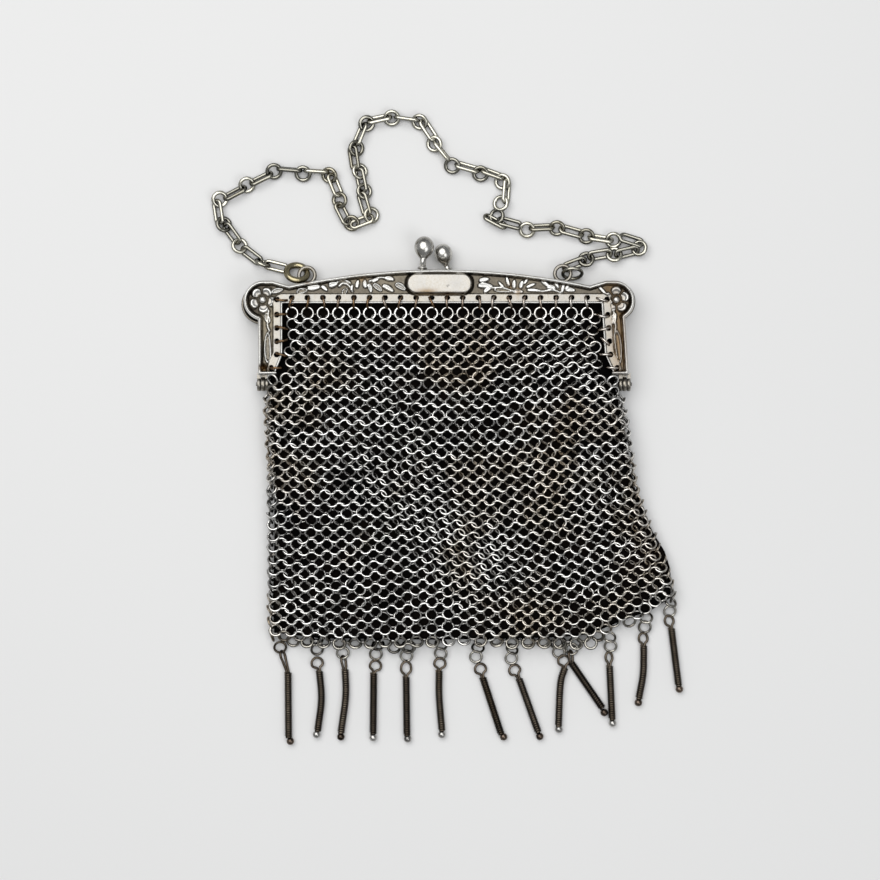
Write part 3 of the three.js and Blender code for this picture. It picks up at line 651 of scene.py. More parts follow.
def wear(made, tone):
    """Gives a wire or bar its tone, with a painted sheen where it faces up or down and painted shade on its
    flanks.
    """
    facing = vector_rows(made.data.vertex_normals, "vector")[:, 2]
    if "tone" in made.data.attributes:
        made.data.attributes.remove(made.data.attributes["tone"])
    number_attribute(made, "tone", tone * painted_light_by_facing(facing))
    return made


# Frame outline and face


def arch_height(x, inset=0.0):
    radius = ARCH_RADIUS - inset
    return ARCH_RISE - ARCH_RADIUS + np.sqrt(radius * radius - np.asarray(x, float) ** 2)


def leg_x(side, x, y):
    return side["sign"] * (x + side["splay"] * np.maximum(0, -np.asarray(y, float)) / LEG_LENGTH)


def leg_outer(side):
    return side["mouth"] + side["leg"]


def lobe_centre(side, is_back):
    out = side["back_out"] if is_back else 0
    down = side["back_down"] if is_back else 0
    return np.array([side["sign"] * (leg_outer(side) - side["lobe_inset"] + out), LOBE_HEIGHT - down])


def line(start, end, step=0.03):
    start, end = np.asarray(start, float), np.asarray(end, float)
    count = max(2, int(np.linalg.norm(end - start) / step))
    return start + (end - start) * np.linspace(0, 1, count)[:, None]


def shoulder_corner(side, is_back):
    centre = lobe_centre(side, is_back)
    return np.array([centre[0] - side["sign"] * SHOULDER_FLAT, centre[1] + LOBE_RADIUS])


def inside_outline(points, is_back):
    """Which points lie inside the half's outer outline, the mouth counted in."""
    x, y = points[:, 0], points[:, 1]
    found = (y <= arch_height(np.clip(x, -ARCH_RADIUS, ARCH_RADIUS))) & (np.abs(x) <= VALLEY_X) & (y > -3)
    for side in SIDES:
        sign = side["sign"]
        centre = lobe_centre(side, is_back)
        found |= np.hypot(x - centre[0], y - centre[1]) <= LOBE_RADIUS
        corner = shoulder_corner(side, is_back)
        valley = float(arch_height(VALLEY_X))
        share = (sign * x - VALLEY_X) / (sign * corner[0] - VALLEY_X)
        top = np.where(share < 1, valley + share * (corner[1] - valley), corner[1])
        found |= (sign * x >= VALLEY_X) & (sign * x <= sign * centre[0]) & (y <= top) & (y > -3)
        outer = sign * leg_x(side, leg_outer(side), y)
        in_leg = (y <= LOBE_HEIGHT) & (y >= -LEG_LENGTH)
        found |= (sign * x <= outer) & (sign * x > side["mouth"] - 3) & in_leg
    return found


def outline_points(is_back):
    """Close points along the outer outline."""
    angles = np.radians(np.arange(0, 360, 0.3))
    x = np.arange(-VALLEY_X, VALLEY_X, 0.03)
    strokes = [np.stack([x, arch_height(x)], 1)]
    for side in SIDES:
        centre = lobe_centre(side, is_back)
        corner = shoulder_corner(side, is_back)
        strokes.append(centre + LOBE_RADIUS * np.stack([np.cos(angles), np.sin(angles)], 1))
        strokes.append(line([centre[0], corner[1]], corner))
        strokes.append(line(corner, [side["sign"] * VALLEY_X, float(arch_height(VALLEY_X))]))
        outer = leg_outer(side)
        heel = [leg_x(side, outer, -LEG_LENGTH), -LEG_LENGTH]
        strokes.append(line([leg_x(side, outer, LOBE_HEIGHT), LOBE_HEIGHT], heel))
        strokes.append(line(heel, [leg_x(side, side["mouth"] - 1, -LEG_LENGTH), -LEG_LENGTH]))
    kept = []
    for i, stroke in enumerate(strokes):
        ring = OUTLINE_PROBE * np.array([[1, 0], [-1, 0], [0, 1], [0, -1]])
        near = np.array([inside_outline(stroke + move, is_back) for move in ring])
        kept.append(stroke[~near.all(0)])
    return np.vstack(kept)


def mouth_corners():
    corners = []
    for side in SIDES:
        rows = [
            (side["mouth"] + LEG_CUT_IN, -LEG_LENGTH - 2), (side["mouth"] + LEG_CUT_IN, -LEG_LENGTH + 1),
            (side["mouth"], -LEG_CUT_START), (side["mouth"], 0),
        ]
        edge = [np.array([float(leg_x(side, x, y)), y]) for x, y in rows]
        corners += edge if side is LEFT else edge[::-1]
    return corners


def mouth_points():
    corners = mouth_corners()
    return np.vstack([line(a, b) for a, b in zip(corners, corners[1:])])


def in_mouth(points):
    x, y = points[:, 0], points[:, 1]
    found = y <= 0
    for side in SIDES:
        share = np.clip((-LEG_CUT_START - y) / (LEG_LENGTH - 1 - LEG_CUT_START), 0, 1)
        edge = side["sign"] * leg_x(side, side["mouth"] + LEG_CUT_IN * share, y)
        found &= side["sign"] * x <= edge
    return found


def hole_centres():
    holes = [((i - (TOP_HOLES - 1) / 2) * TOP_HOLE_PITCH, HOLE_EDGE) for i in range(TOP_HOLES)]
    for side in SIDES:
        holes.append((float(leg_x(side, side["mouth"] + HOLE_EDGE, 1)), 1.0))
        for i in range(4):
            y = -2.8 - 3.3 * i
            holes.append((float(leg_x(side, side["mouth"] + HOLE_EDGE, y)), y))
        holes.append((float(leg_x(side, side["mouth"] + 2.9, -16)), -16.0))
    return np.array(holes)


def nearest(points, targets):
    """Distance from each point to the nearest target, and that target."""
    tree = KDTree(len(targets))
    for i, (x, y) in enumerate(targets):
        tree.insert((x, y, 0), i)
    tree.balance()
    found = [tree.find((x, y, 0)) for x, y in points]
    return np.array([hit[2] for hit in found]), targets[[hit[1] for hit in found]]


def leaf_height(x, y, leaf):
    """A pointed leaf. hollow draws it from a full leaf with a midrib, at 0, to a raised outline, at 1."""
    cx, cy, length, width, degrees, hollow = leaf
    angle = math.radians(degrees)
    along = ((x - cx) * math.cos(angle) + (y - cy) * math.sin(angle)) / (length / 2)
    across = ((y - cy) * math.cos(angle) - (x - cx) * math.sin(angle)) / (width / 2)
    across = across - 0.2 * (1 - along ** 2)
    reach = np.clip(1 - along ** 2, 0, 1) ** 0.7 * (1 - 0.2 * along)
    share = np.abs(across) / np.maximum(reach, 0.05)
    body = np.clip(1 - share ** 4, 0, 1) ** 0.5 * smooth((1 - np.abs(along)) * 5)
    rib = np.exp(-(across / 0.14) ** 2)
    inner = smooth((0.72 - share) / 0.3) * smooth((0.85 - np.abs(along)) / 0.25)
    return body * (1 - 0.3 * rib * (1 - hollow) - 0.95 * hollow * inner) * (np.abs(along) < 1)


def flower_height(x, y, flower):
    """Cupped petals about a ringed centre."""
    cx, cy, radius, petals, turn = flower
    dx, dy = x - cx, y - cy
    far = np.hypot(dx, dy) / radius
    angle = np.arctan2(dy, dx) - math.radians(turn)
    wave = np.abs(np.cos(petals * angle / 2))
    share = far / (0.5 + 0.5 * wave ** 0.5)
    edge = np.exp(-((share - 0.84) / 0.13) ** 2)
    petal = (0.45 * (share < 0.9) + 0.75 * edge) * smooth((wave - 0.18) * 3.4)
    centre = np.clip(1 - (far / 0.27) ** 2, 0, 1) ** 0.5
    ring = np.exp(-((far - 0.33) / 0.07) ** 2)
    return np.maximum(petal * (far > 0.3), centre) - 0.5 * ring


def stem_height(x, y, points, width):
    """A raised stem along a few points."""
    track = curve_through(points, 24)
    gap, _ = nearest(np.stack([x, y], 1), track)
    return 0.8 * np.sqrt(np.clip(1 - (gap / width) ** 2, 0, 1))


# Ornament: leaves (x, y, length, width, turn, hollow), flowers (x, y, radius, petals, turn) and stems.
# The two arms of the arch, the shoulders and the legs differ, as they were cut by hand.
LEAVES = [
    (-34.1, 3.0, 3.0, 1.5, 12, 0.8), (-31.2, 3.9, 3.6, 1.9, 6, 0.1), (-28.6, 3.7, 2.2, 1.1, -40, 0),
    (-26.4, 4.6, 2.5, 1.8, 15, 0), (-23.4, 3.0, 2.0, 1.3, 60, 0.8), (-21.7, 3.9, 1.9, 0.8, 80, 0),
    (-20.3, 4.8, 2.4, 1.1, 78, 0), (-18.4, 4.9, 2.4, 1.25, 96, 0), (-17.3, 3.8, 2.5, 1.1, -75, 0.3),
    (-15.9, 5.7, 2.1, 1.0, 20, 0), (-12.4, 6.05, 2.7, 1.4, -12, 0), (-15.4, 3.9, 3.0, 1.4, -40, 0.5),
    (-12.8, 3.7, 3.6, 1.5, -30, 0), (-9.7, 4.1, 3.2, 1.6, -30, 0.5),
    (11.1, 5.8, 3.0, 1.3, 10, 0), (11.4, 4.3, 4.2, 1.6, -4, 0), (11.9, 3.3, 2.4, 1.2, 30, 0),
    (15.7, 3.2, 4.8, 1.2, -5, 0.7), (15.3, 4.7, 2.3, 0.8, 132, 0), (17.0, 5.5, 3.0, 0.95, 106, 0),
    (18.6, 4.8, 2.4, 1.2, 88, 0), (20.4, 4.7, 2.4, 1.15, 74, 0), (21.6, 5.6, 2.4, 0.75, 55, 0),
    (22.7, 4.4, 2.9, 0.85, 22, 0), (23.5, 3.2, 4.0, 0.9, -3, 0), (19.5, 2.9, 2.8, 1.0, 0, 0.3),
    (26.3, 4.8, 3.2, 1.1, -40, 0), (27.7, 3.9, 2.6, 1.4, -10, 0), (29.0, 4.6, 2.3, 0.9, -60, 0),
    (30.7, 3.9, 3.0, 0.9, 76, 0), (31.9, 4.2, 2.3, 0.8, 52, 0), (32.4, 3.3, 2.8, 1.2, -5, 0.2),
    (-40.2, 3.1, 3.2, 1.3, 14, 0.5), (-42.6, -3.6, 2.8, 1.5, 105, 0.6), (-42.5, -11.0, 8.8, 1.9, 91, 0.85),
    (40.6, 2.9, 4.2, 0.9, -48, 0), (41.7, 1.4, 4.0, 0.8, -52, 0), (43.4, -3.7, 3.2, 1.6, 80, 0.3),
    (44.2, -10.8, 9.6, 1.9, -84, 0.8),
]
FLOWERS = [(-43.9, 0.9, 3.5, 5, 60), (43.9, 0.9, 3.5, 5, 20)]
STEMS = [
    [(-25.6, 5.0), (-24.9, 5.7), (-23.7, 5.9), (-22.2, 5.1)],
    [(-24.9, 4.3), (-24.0, 5.0), (-22.6, 4.5), (-21.6, 3.0)],
    [(-17.4, 5.5), (-15.0, 6.4), (-13.2, 6.3)],
    [(13.0, 3.9), (15.6, 3.9), (18.4, 3.0)],
    [(25.4, 3.0), (28.2, 3.3), (30.0, 2.7)],
    [(-42.4, -1.8), (-42.7, -5.2), (-42.2, -6.8)],
    [(43.2, -1.6), (43.7, -5.4), (43.6, -6.6)],
]
STEM_WIDTH = 0.36
CARTOUCHE = {"length": 16.3, "height": 5.1, "centre": 4.95, "round": 2.4}


def cartouche_gap(x, y):
    """Distance to the cartouche's edge, below zero inside it."""
    half = np.array([CARTOUCHE["length"] / 2, CARTOUCHE["height"] / 2]) - CARTOUCHE["round"]
    dx = np.abs(x) - half[0]
    dy = np.abs(y - CARTOUCHE["centre"]) - half[1]
    outside = np.hypot(np.maximum(dx, 0), np.maximum(dy, 0))
    return outside + np.minimum(np.maximum(dx, dy), 0) - CARTOUCHE["round"]


def ornament(x, y):
    """Height of the relief above the sunk panel, from 0 to 1."""
    height = np.zeros(len(x))
    for leaf in LEAVES:
        height = np.maximum(height, leaf_height(x, y, leaf))
    for flower in FLOWERS:
        height = np.maximum(height, flower_height(x, y, flower))
    for stem in STEMS:
        height = np.maximum(height, stem_height(x, y, stem, STEM_WIDTH))
    return np.clip(height, 0, 1)


# Small marks on the front half: (x, y, how far across, how far up, depth)
RIVET = (-43.9, -15.9, 0.85, 0.6, 0.7)
DENTS = [RIVET, (2.25, 4.25, 0.3, 0.25, 0.12)]
# Brown stains, each (x, y, how far across, how far up, strength)
STAINS = [
    (-3.1, 2.9, 2.6, 0.8, 0.9), (2.6, 2.55, 2.8, 0.35, 0.7), (-43.9, -15.9, 1.1, 0.8, 1.0),
    (-40.6, -2.6, 0.7, 0.6, 0.8), (19.6, 2.9, 0.8, 0.9, 0.9), (17.4, 4.3, 0.5, 0.8, 0.8),
    (-32.9, 5.2, 0.9, 0.5, 0.9), (-19.0, 5.9, 1.2, 0.6, 0.7), (44.6, -9.0, 2.2, 9.5, 0.75),
    (42.6, 4.0, 2.2, 2.4, 0.5),
]
SEAM_BEADS = 46


def spots(x, y, marks):
    """Soft spots, each as strong as its last number."""
    total = np.zeros(len(x))
    for cx, cy, across, up, strength in marks:
        total = np.maximum(total, strength * np.exp(-((x - cx) / across) ** 2 - ((y - cy) / up) ** 2))
    return total


def seam_beads(x, y, edge, is_back):
    """Milled beads along the round shoulders, inside the rim in front and on the rim behind."""
    beads = np.zeros(len(x))
    for side in SIDES:
        centre = lobe_centre(side, is_back)
        angle = np.arctan2(y - centre[1], side["sign"] * (x - centre[0]))
        at = 0.45 if is_back else 1.05
        band = np.exp(-((edge - at) / 0.3) ** 2) * (np.abs(angle + 0.25) < 1.35)
        if side is LEFT and not is_back:
            band = band * 0.35
        near = np.hypot(x - centre[0], y - centre[1]) < LOBE_RADIUS + 0.5
        beads = np.maximum(beads, band * near * (0.5 + 0.5 * np.cos(SEAM_BEADS * angle)))
    return beads


def face_height(points, is_back):
    """Height of a half's face above its parting plane, and how rubbed and how stained each point is."""
    x, y = points[:, 0], points[:, 1]
    edge, _ = nearest(points, outline_points(is_back))
    lip, _ = nearest(points, mouth_points())
    flange = lip < FLANGE_WIDTH
    ground = PANEL_LEVEL + (FLANGE_LEVEL - PANEL_LEVEL) * smooth((FLANGE_WIDTH + 0.12 - lip) / 0.24)
    raised = ornament(x, y) * smooth((lip - FLANGE_WIDTH + 0.1) / 0.3) * smooth((edge - 0.9) / 0.3)
    height = ground + RELIEF_HEIGHT * raised
    bead = FLANGE_LEVEL + 0.3 * np.sqrt(np.clip(1 - ((lip - BEAD_WIDTH / 2) / (BEAD_WIDTH / 2)) ** 2, 0, 1))
    height = np.where(lip < BEAD_WIDTH, bead, height)
    rim_shape = np.clip(1 - ((edge - RIM_CREST) / (RIM_WIDTH * 0.5)) ** 2, 0, 1)
    rim = PANEL_LEVEL + (RIM_LEVEL - PANEL_LEVEL) * np.sqrt(rim_shape)
    height = np.where((edge < RIM_WIDTH * 1.05) & (edge > RIM_CREST), np.maximum(rim, height), height)
    height = np.where(edge <= RIM_CREST, RIM_LEVEL, height)
    groove = np.exp(-((edge - RIM_WIDTH - RIM_GROOVE / 2) / (RIM_GROOVE / 2)) ** 2) * (lip > BEAD_WIDTH)
    height = height - GROOVE_DEPTH * groove
    plate = cartouche_gap(x, y)
    crown = RIM_LEVEL - PLATE_BELOW_RIM - PLATE_FALL * smooth((plate + PLATE_EDGE) / PLATE_EDGE) ** 2
    height = np.where(plate < 0, crown, height)
    moat = np.exp(-((plate - MOAT_MIDDLE) / MOAT_MIDDLE) ** 2) * (plate > 0) * (edge > RIM_WIDTH)
    height = height - GROOVE_DEPTH * moat
    drop = np.clip(1 - edge / EDGE_ROUND_WIDTH, 0, 1)
    rounding = EDGE_ROUND_HEIGHT * (1 - np.sqrt(np.clip(1 - drop ** 2, 0, 1)))
    height = height - np.where(edge < EDGE_ROUND_WIDTH, rounding, 0)
    beads = seam_beads(x, y, edge, is_back)
    height = height - SEAM_BEAD_DEPTH * beads
    in_lobe = np.min([np.hypot(x - cx, y - cy) for cx, cy in (lobe_centre(s, is_back) for s in SIDES)], 0)
    low = RUBBED["ground"] - 0.12 * smooth((LOBE_RADIUS - 0.4 - in_lobe) / 0.8)
    rubbed = np.where(raised > 0.1, 0.3 + 0.7 * smooth((raised - 0.2) / 0.55), low)
    rubbed = np.where(flange & (raised < 0.1), RUBBED["flange"], rubbed)
    rubbed = np.where(lip < BEAD_WIDTH, RUBBED["bead"], rubbed)
    rubbed = np.where(edge < RIM_WIDTH, RUBBED["rim"], rubbed)
    rubbed = np.where(plate < -0.1, RUBBED["plate"], rubbed) - 0.5 * groove - 0.5 * moat - 0.8 * beads
    stained = spots(x, y, STAINS)
    if not is_back:
        height = height - spots(x, y, DENTS)
        rubbed = rubbed - 0.8 * spots(x, y, [RIVET])
    return height, np.clip(rubbed, 0, 1), stained


def half_sheet(name, is_back, step):
    """One stamped half: its face as a fine sheet, with skirts down to the parting plane."""
    low_x, high_x = -SHEET_REACH, SHEET_REACH
    low_y, high_y = -LEG_LENGTH - 1, ARCH_RISE + 1
    nx, ny = int((high_x - low_x) / step) + 1, int((high_y - low_y) / step) + 1
    gx, gy = np.meshgrid(low_x + step * np.arange(nx), low_y + step * np.arange(ny), indexing="ij")
    grid = np.stack([gx.ravel(), gy.ravel()], 1)
    holes = hole_centres()
    inside = inside_outline(grid, is_back) & ~in_mouth(grid)
    for hole in holes:
        inside &= np.hypot(grid[:, 0] - hole[0], grid[:, 1] - hole[1]) > HOLE_RADIUS
    mask = inside.reshape(nx, ny)
    corners = [(0, 0), (1, 0), (1, 1), (0, 1)]
    cells = np.zeros((nx - 1, ny - 1), int)
    for i, j in corners:
        cells += mask[i:nx - 1 + i, j:ny - 1 + j]
    ci, cj = np.nonzero(cells > 0)
    quads = np.stack([(ci + i) * ny + (cj + j) for i, j in corners], 1)
    used, faces = np.unique(quads, return_inverse=True)
    faces = faces.reshape(quads.shape)
    flat = grid[used].copy()
    loose = ~inside[used]
    rim = outline_points(is_back)
    lip = mouth_points()
    hole_edge = np.vstack([
        hole + HOLE_RADIUS * np.stack([np.cos(a), np.sin(a)], 1)
        for hole in holes for a in [np.linspace(0, 2 * math.pi, HOLE_STEPS, endpoint=False)]])
    _, target = nearest(flat[loose], np.vstack([rim, lip[inside_outline(lip, is_back)], hole_edge]))
    flat[loose] = target
    height, rubbed, stained = face_height(flat, is_back)
    sign = -1 if is_back else 1
    parting = BACK_PARTING if is_back else FRONT_PARTING
    points = np.column_stack([flat, parting + sign * height])
    edge_count = {}
    for face in faces:
        for a, b in zip(face, np.roll(face, -1)):
            edge_count[(a, b)] = edge_count.get((b, a), 0) + 1
            if (b, a) in edge_count:
                edge_count[(b, a)] = 2
                edge_count[(a, b)] = 2
    rim_gap, _ = nearest(flat, rim)
    border = [(a, b) for (a, b), count in edge_count.items()
              if count == 1 and rim_gap[a] < 1e-6 and rim_gap[b] < 1e-6]
    skirt_of = {}
    extra = []
    for vertex in sorted({v for edge in border for v in edge}):
        skirt_of[vertex] = []
        for level in SKIRT_LEVELS:
            skirt_of[vertex].append(len(points) + len(extra))
            extra.append([*flat[vertex], parting + sign * height[vertex] * level])
    points = np.vstack([points, np.array(extra)])
    rubbed = np.concatenate([rubbed, np.full(len(extra), RUBBED["skirt"])])
    stained = np.concatenate([stained, np.zeros(len(extra))])
    all_faces = [tuple(face) for face in faces]
    for a, b in border:
        column_a, column_b = [a, *skirt_of[a]], [b, *skirt_of[b]]
        for k in range(len(SKIRT_LEVELS)):
            all_faces.append((column_b[k], column_a[k], column_a[k + 1], column_b[k + 1]))
    if is_back:
        all_faces = [face[::-1] for face in all_faces]
    made = piece_from(name, points, all_faces, FRAME_SILVER)
    number_attribute(made, "relief", rubbed)
    number_attribute(made, "stained", stained)
    thick = made.modifiers.new("thickness", "SOLIDIFY")
    thick.thickness = SHEET_THICKNESS * MM
    thick.offset = -1
    graph = bpy.context.evaluated_depsgraph_get()
    solid = bpy.data.meshes.new_from_object(made.evaluated_get(graph))
    made.modifiers.clear()
    made.data = solid
    return made


# Hinges and lugs

BARREL_RADIUS = 1.75
OUTER_KNUCKLE = 0.85
MIDDLE_KNUCKLE = 1.0
KNUCKLE_GAP = 0.1
TAB_DEPTH = 0.6
BARREL_OVERHANG = 0.4
BARREL_DROP = 19.95
KNUCKLE_BORE = 0.75
KNUCKLE_EDGE = 0.14
KNUCKLE_SIDES = 28
LUG_RISE = 2.05
LUG_RADIUS = 2.0
LUG_WIRE = 0.5
LUG_LEVEL = 2.65
LUG_STEPS = 40


def barrel_x(side):
    length = 2 * OUTER_KNUCKLE + MIDDLE_KNUCKLE + 2 * KNUCKLE_GAP
    return float(leg_x(side, leg_outer(side) + BARREL_OVERHANG - length / 2, -BARREL_DROP))


def knuckle(name, side, offset, length, sign):
    """A rolled knuckle with a bore, and the tab that it is rolled from."""
    x = barrel_x(side) + offset
    z = (BACK_PARTING + FRONT_PARTING) / 2
    half = length / 2
    bevel = BARREL_RADIUS - KNUCKLE_EDGE
    profile = [
        (KNUCKLE_BORE, -half), (bevel, -half), (BARREL_RADIUS, -half + KNUCKLE_EDGE),
        (BARREL_RADIUS, half - KNUCKLE_EDGE), (bevel, half), (KNUCKLE_BORE, half),
    ]
    sides = KNUCKLE_SIDES
    points, faces = [], []
    for radius, height in profile:
        for i in range(sides):
            angle = 2 * math.pi * i / sides
            points.append((x + height, -BARREL_DROP + radius * math.cos(angle), z + radius * math.sin(angle)))
    for row in range(len(profile)):
        other = (row + 1) % len(profile)
        for i in range(sides):
            j = (i + 1) % sides
            faces.append((row * sides + j, row * sides + i, other * sides + i, other * sides + j))
    barrel = piece_from(name, points, faces, FRAME_SILVER)
    top, bottom = z + sign * 0.35, z + sign * BARREL_RADIUS * TAB_DEPTH
    y_low, y_high = -BARREL_DROP + 0.3, -LEG_LENGTH + 0.5
    corners = [
        (x + i * half, y, height) for i in (-1, 1) for y in (y_low, y_high) for height in (top, bottom)]
    quads = [(0, 1, 3, 2), (4, 6, 7, 5), (0, 4, 5, 1), (2, 3, 7, 6), (0, 2, 6, 4), (1, 5, 7, 3)]
    if sign < 0:
        quads = [quad[::-1] for quad in quads]
    tab = piece_from(name + "_tab", corners, quads, FRAME_SILVER)
    tab.data.shade_flat()
    return [barrel, tab]


def lug_centre(side):
    x = side["sign"] * side["lug"]
    return x, float(arch_height(side["lug"])) + LUG_RISE


def lug(side):
    x, y = lug_centre(side)
    angles = np.linspace(0, 2 * math.pi, LUG_STEPS, endpoint=False)
    level = np.full(LUG_STEPS, LUG_LEVEL)
    ring = np.stack([x + LUG_RADIUS * np.cos(angles), y + LUG_RADIUS * np.sin(angles), level], 1)
    return wire_along("lug", ring, LUG_WIRE, 12, FRAME_SILVER, closed=True)


def frame_half(name, is_back, node, step):
    """A whole half: face, knuckles and, at the back, the chain's lugs."""
    parts = [half_sheet(name, is_back, step)]
    outer = (MIDDLE_KNUCKLE + OUTER_KNUCKLE) / 2 + KNUCKLE_GAP
    for side in SIDES:
        offsets = [0] if is_back else [-outer, outer]
        length = MIDDLE_KNUCKLE if is_back else OUTER_KNUCKLE
        for offset in offsets:
            parts += knuckle("knuckle", side, offset, length, -1 if is_back else 1)
        if is_back:
            parts.append(lug(side))
    for part in parts[1:]:
        number_attribute(part, "relief", np.full(len(part.data.vertices), RUBBED["knuckle"]))
        number_attribute(part, "stained", np.zeros(len(part.data.vertices)))
    return finish_piece(join(name, parts), "frame_silver", node)


frame_half("front_half", False, "front_frame", FRONT_STEP)
frame_half("back_half", True, "back_frame", BACK_STEP)


# Clasp and jump rings


def clasp_knob(name, node, x, size, stem, lean, tip, level):
    """A pear-shaped knob: a round ball that draws in to a thin stem on a small collar."""
    foot = np.array([x, float(arch_height(x)) + 0.3, level])
    axis = Vector((math.tan(math.radians(lean)), 1, math.tan(math.radians(tip))))
    collar = [
        (0.02, -0.75), (0.6, -0.75), (0.6, -0.02), (1.15, 0.0), (1.22, 0.14), (1.12, 0.32), (0.82, 0.42),
    ]
    ball = [
        (0.78, 0.0), (0.8, 0.35), (0.95, 0.62), (1.3, 0.95), (1.78, 1.5), (2.16, 2.15), (2.38, 2.85),
        (2.45, 3.45), (2.4, 4.05), (2.22, 4.65), (1.92, 5.15), (1.5, 5.6), (0.98, 5.92), (0.4, 6.08),
        (0.02, 6.1),
    ]
    profile = collar + [(radius * size, stem + height * size) for radius, height in ball]
    made = turned_body(name, profile, foot, axis, 40, CLASP_SILVER)
    return finish_piece(made, "clasp_silver", node)


clasp_knob("clasp_ball_front", "clasp_knob_front", -4.3, 1.0, 2.1, 5, -8, FRONT_PARTING + 1.9)
clasp_knob("clasp_ball_back", "clasp_knob_back", 2.1, 0.94, 1.0, -16, 12, BACK_PARTING - 1.9)


def jump_ring(name, node, side, radius, wire, turn, tilt, material, slot):
    x, y = lug_centre(side)
    turn, tilt = math.radians(turn), math.radians(tilt)
    matrix = turns_about("Z", [turn]) @ turns_about("X", [tilt])
    centre = [[x + radius * math.cos(turn), y + radius * math.sin(turn), LUG_LEVEL]]
    made = links_at(name, centre, matrix, [0.5], material, radius, wire / 2, 40, 12)
    return finish_piece(made, slot, node)


jump_ring("brass_jump_ring", "jump_ring_left", LEFT, 2.6, 1.6, 166, 40, BRASS_WIRE, "ring_brass")
jump_ring("dark_jump_ring", "jump_ring_right", RIGHT, 2.4, 0.9, 0, 62, CHAIN_DARK, "chain_dark")

for node in ("hinge_pin_left", "hinge_pin_right"):
    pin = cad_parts[node]
    pin.data.materials.clear()
    pin.data.materials.append(CLASP_SILVER)


# Carrying chain, link by link from the left: R and V are round rings, L, H and E long links

CHAIN_RING_RADIUS = 1.7
CHAIN_WIRE = 0.49
CHAIN_LEVEL = 1.3
LONG_LINK_RADIUS = 1.02
LONG_LINK_STRAIGHT = 3.75
CHAIN_CLEARANCE = 0.03
CHAIN_SWAY = 4
CHAIN_TONES = (0.3, 0.9)
CHAIN_RING_STEPS = 32
LONG_LINK_STEPS = 28
CHAIN_WIRE_SIDES = 10
# How far a link is rolled from lying flat, in degrees: ring, ring on edge, and links open to on edge
LINK_ROLL = {"R": 25, "V": 74, "L": -27, "H": -50, "E": -76}
CHAIN_LINKS = [
    ("L", -41.0, 9.7), ("V", -44.4, 10.5), ("L", -47.2, 12.5), ("R", -50.2, 14.9), ("L", -52.2, 18.0),
    ("R", -54.2, 20.3), ("L", -55.6, 23.4), ("R", -55.2, 26.6), ("H", -51.4, 28.2), ("R", -48.4, 30.2),
    ("H", -44.8, 31.8), ("R", -41.6, 33.6), ("E", -37.7, 34.0), ("R", -34.3, 33.0), ("E", -30.9, 33.6),
    ("R", -27.7, 32.6), ("L", -26.3, 30.2), ("R", -25.1, 26.4), ("L", -24.3, 23.0), ("R", -22.1, 20.6),
    ("L", -19.5, 21.0), ("R", -17.1, 22.6), ("L", -18.9, 25.4), ("R", -18.9, 28.6), ("L", -19.7, 31.4),
    ("R", -20.0, 33.6), ("L", -21.5, 37.0), ("R", -20.9, 39.4), ("H", -19.9, 43.0), ("R", -18.3, 45.6),
    ("H", -15.1, 46.8), ("R", -12.0, 47.0), ("E", -8.2, 46.8), ("R", -5.0, 46.0), ("L", -2.8, 44.0),
    ("R", -1.3, 40.5), ("E", 0.6, 38.6), ("R", 3.2, 35.0), ("H", 7.0, 34.6), ("R", 10.3, 33.0),
    ("H", 13.4, 33.0), ("R", 15.8, 31.0), ("H", 16.8, 28.6), ("R", 15.4, 25.6), ("R", 14.4, 22.3),
    ("H", 14.0, 21.0), ("L", 17.6, 20.6), ("R", 22.0, 18.9), ("H", 25.7, 19.5), ("R", 29.5, 19.3),
    ("L", 33.1, 18.5), ("R", 36.9, 17.3), ("H", 40.5, 16.7), ("R", 43.7, 16.3), ("L", 48.2, 16.3),
    ("R", 50.2, 14.3), ("L", 47.1, 13.3), ("R", 43.9, 12.7), ("L", 40.3, 12.7), ("R", 36.9, 11.5),
    ("L", 33.9, 10.3),
]


def carrying_chain():
    """Round rings and long links, rolled opposite ways so that each goes through the next."""
    draw = np.random.default_rng(11)
    centres = np.array([(x, y) for _, x, y in CHAIN_LINKS])
    ways = np.gradient(centres, axis=0)
    headings = np.arctan2(ways[:, 1], ways[:, 0])
    sway = draw.uniform(-CHAIN_SWAY, CHAIN_SWAY, len(centres))
    rolls = np.radians([LINK_ROLL[kind] for kind, _, _ in CHAIN_LINKS] + sway)
    tones = draw.uniform(*CHAIN_TONES, len(centres))
    is_ring = np.array([kind in "RV" for kind, _, _ in CHAIN_LINKS])
    parts = []
    for chosen, radius, straight, steps in (
            (is_ring, CHAIN_RING_RADIUS, 0.0, CHAIN_RING_STEPS),
            (~is_ring, LONG_LINK_RADIUS, LONG_LINK_STRAIGHT, LONG_LINK_STEPS)):
        level = np.maximum(CHAIN_LEVEL, radius * np.abs(np.sin(rolls[chosen])) + CHAIN_WIRE + CHAIN_CLEARANCE)
        matrices = turns_about("Z", headings[chosen]) @ turns_about("X", rolls[chosen])
        parts.append(links_at(
            "chain_links", np.column_stack([centres[chosen], level]), matrices, tones[chosen], CHAIN_DARK,
            radius, CHAIN_WIRE, steps, CHAIN_WIRE_SIDES, straight))
    return finish_piece(join("carrying_chain_links", parts), "chain_dark", "carrying_chain")


carrying_chain()


# Mail bag

# Side edges of the bag at a few heights: y, left, right
BAG_EDGES = np.array([
    (-21.0, -43.4, 45.0), (-31.4, -43.4, 47.1), (-38.9, -43.1, 48.4), (-48.9, -42.6, 50.1),
    (-58.9, -42.6, 53.4), (-68.9, -42.8, 57.6), (-75.1, -43.0, 59.1), (-88.0, -42.4, 59.1),
])
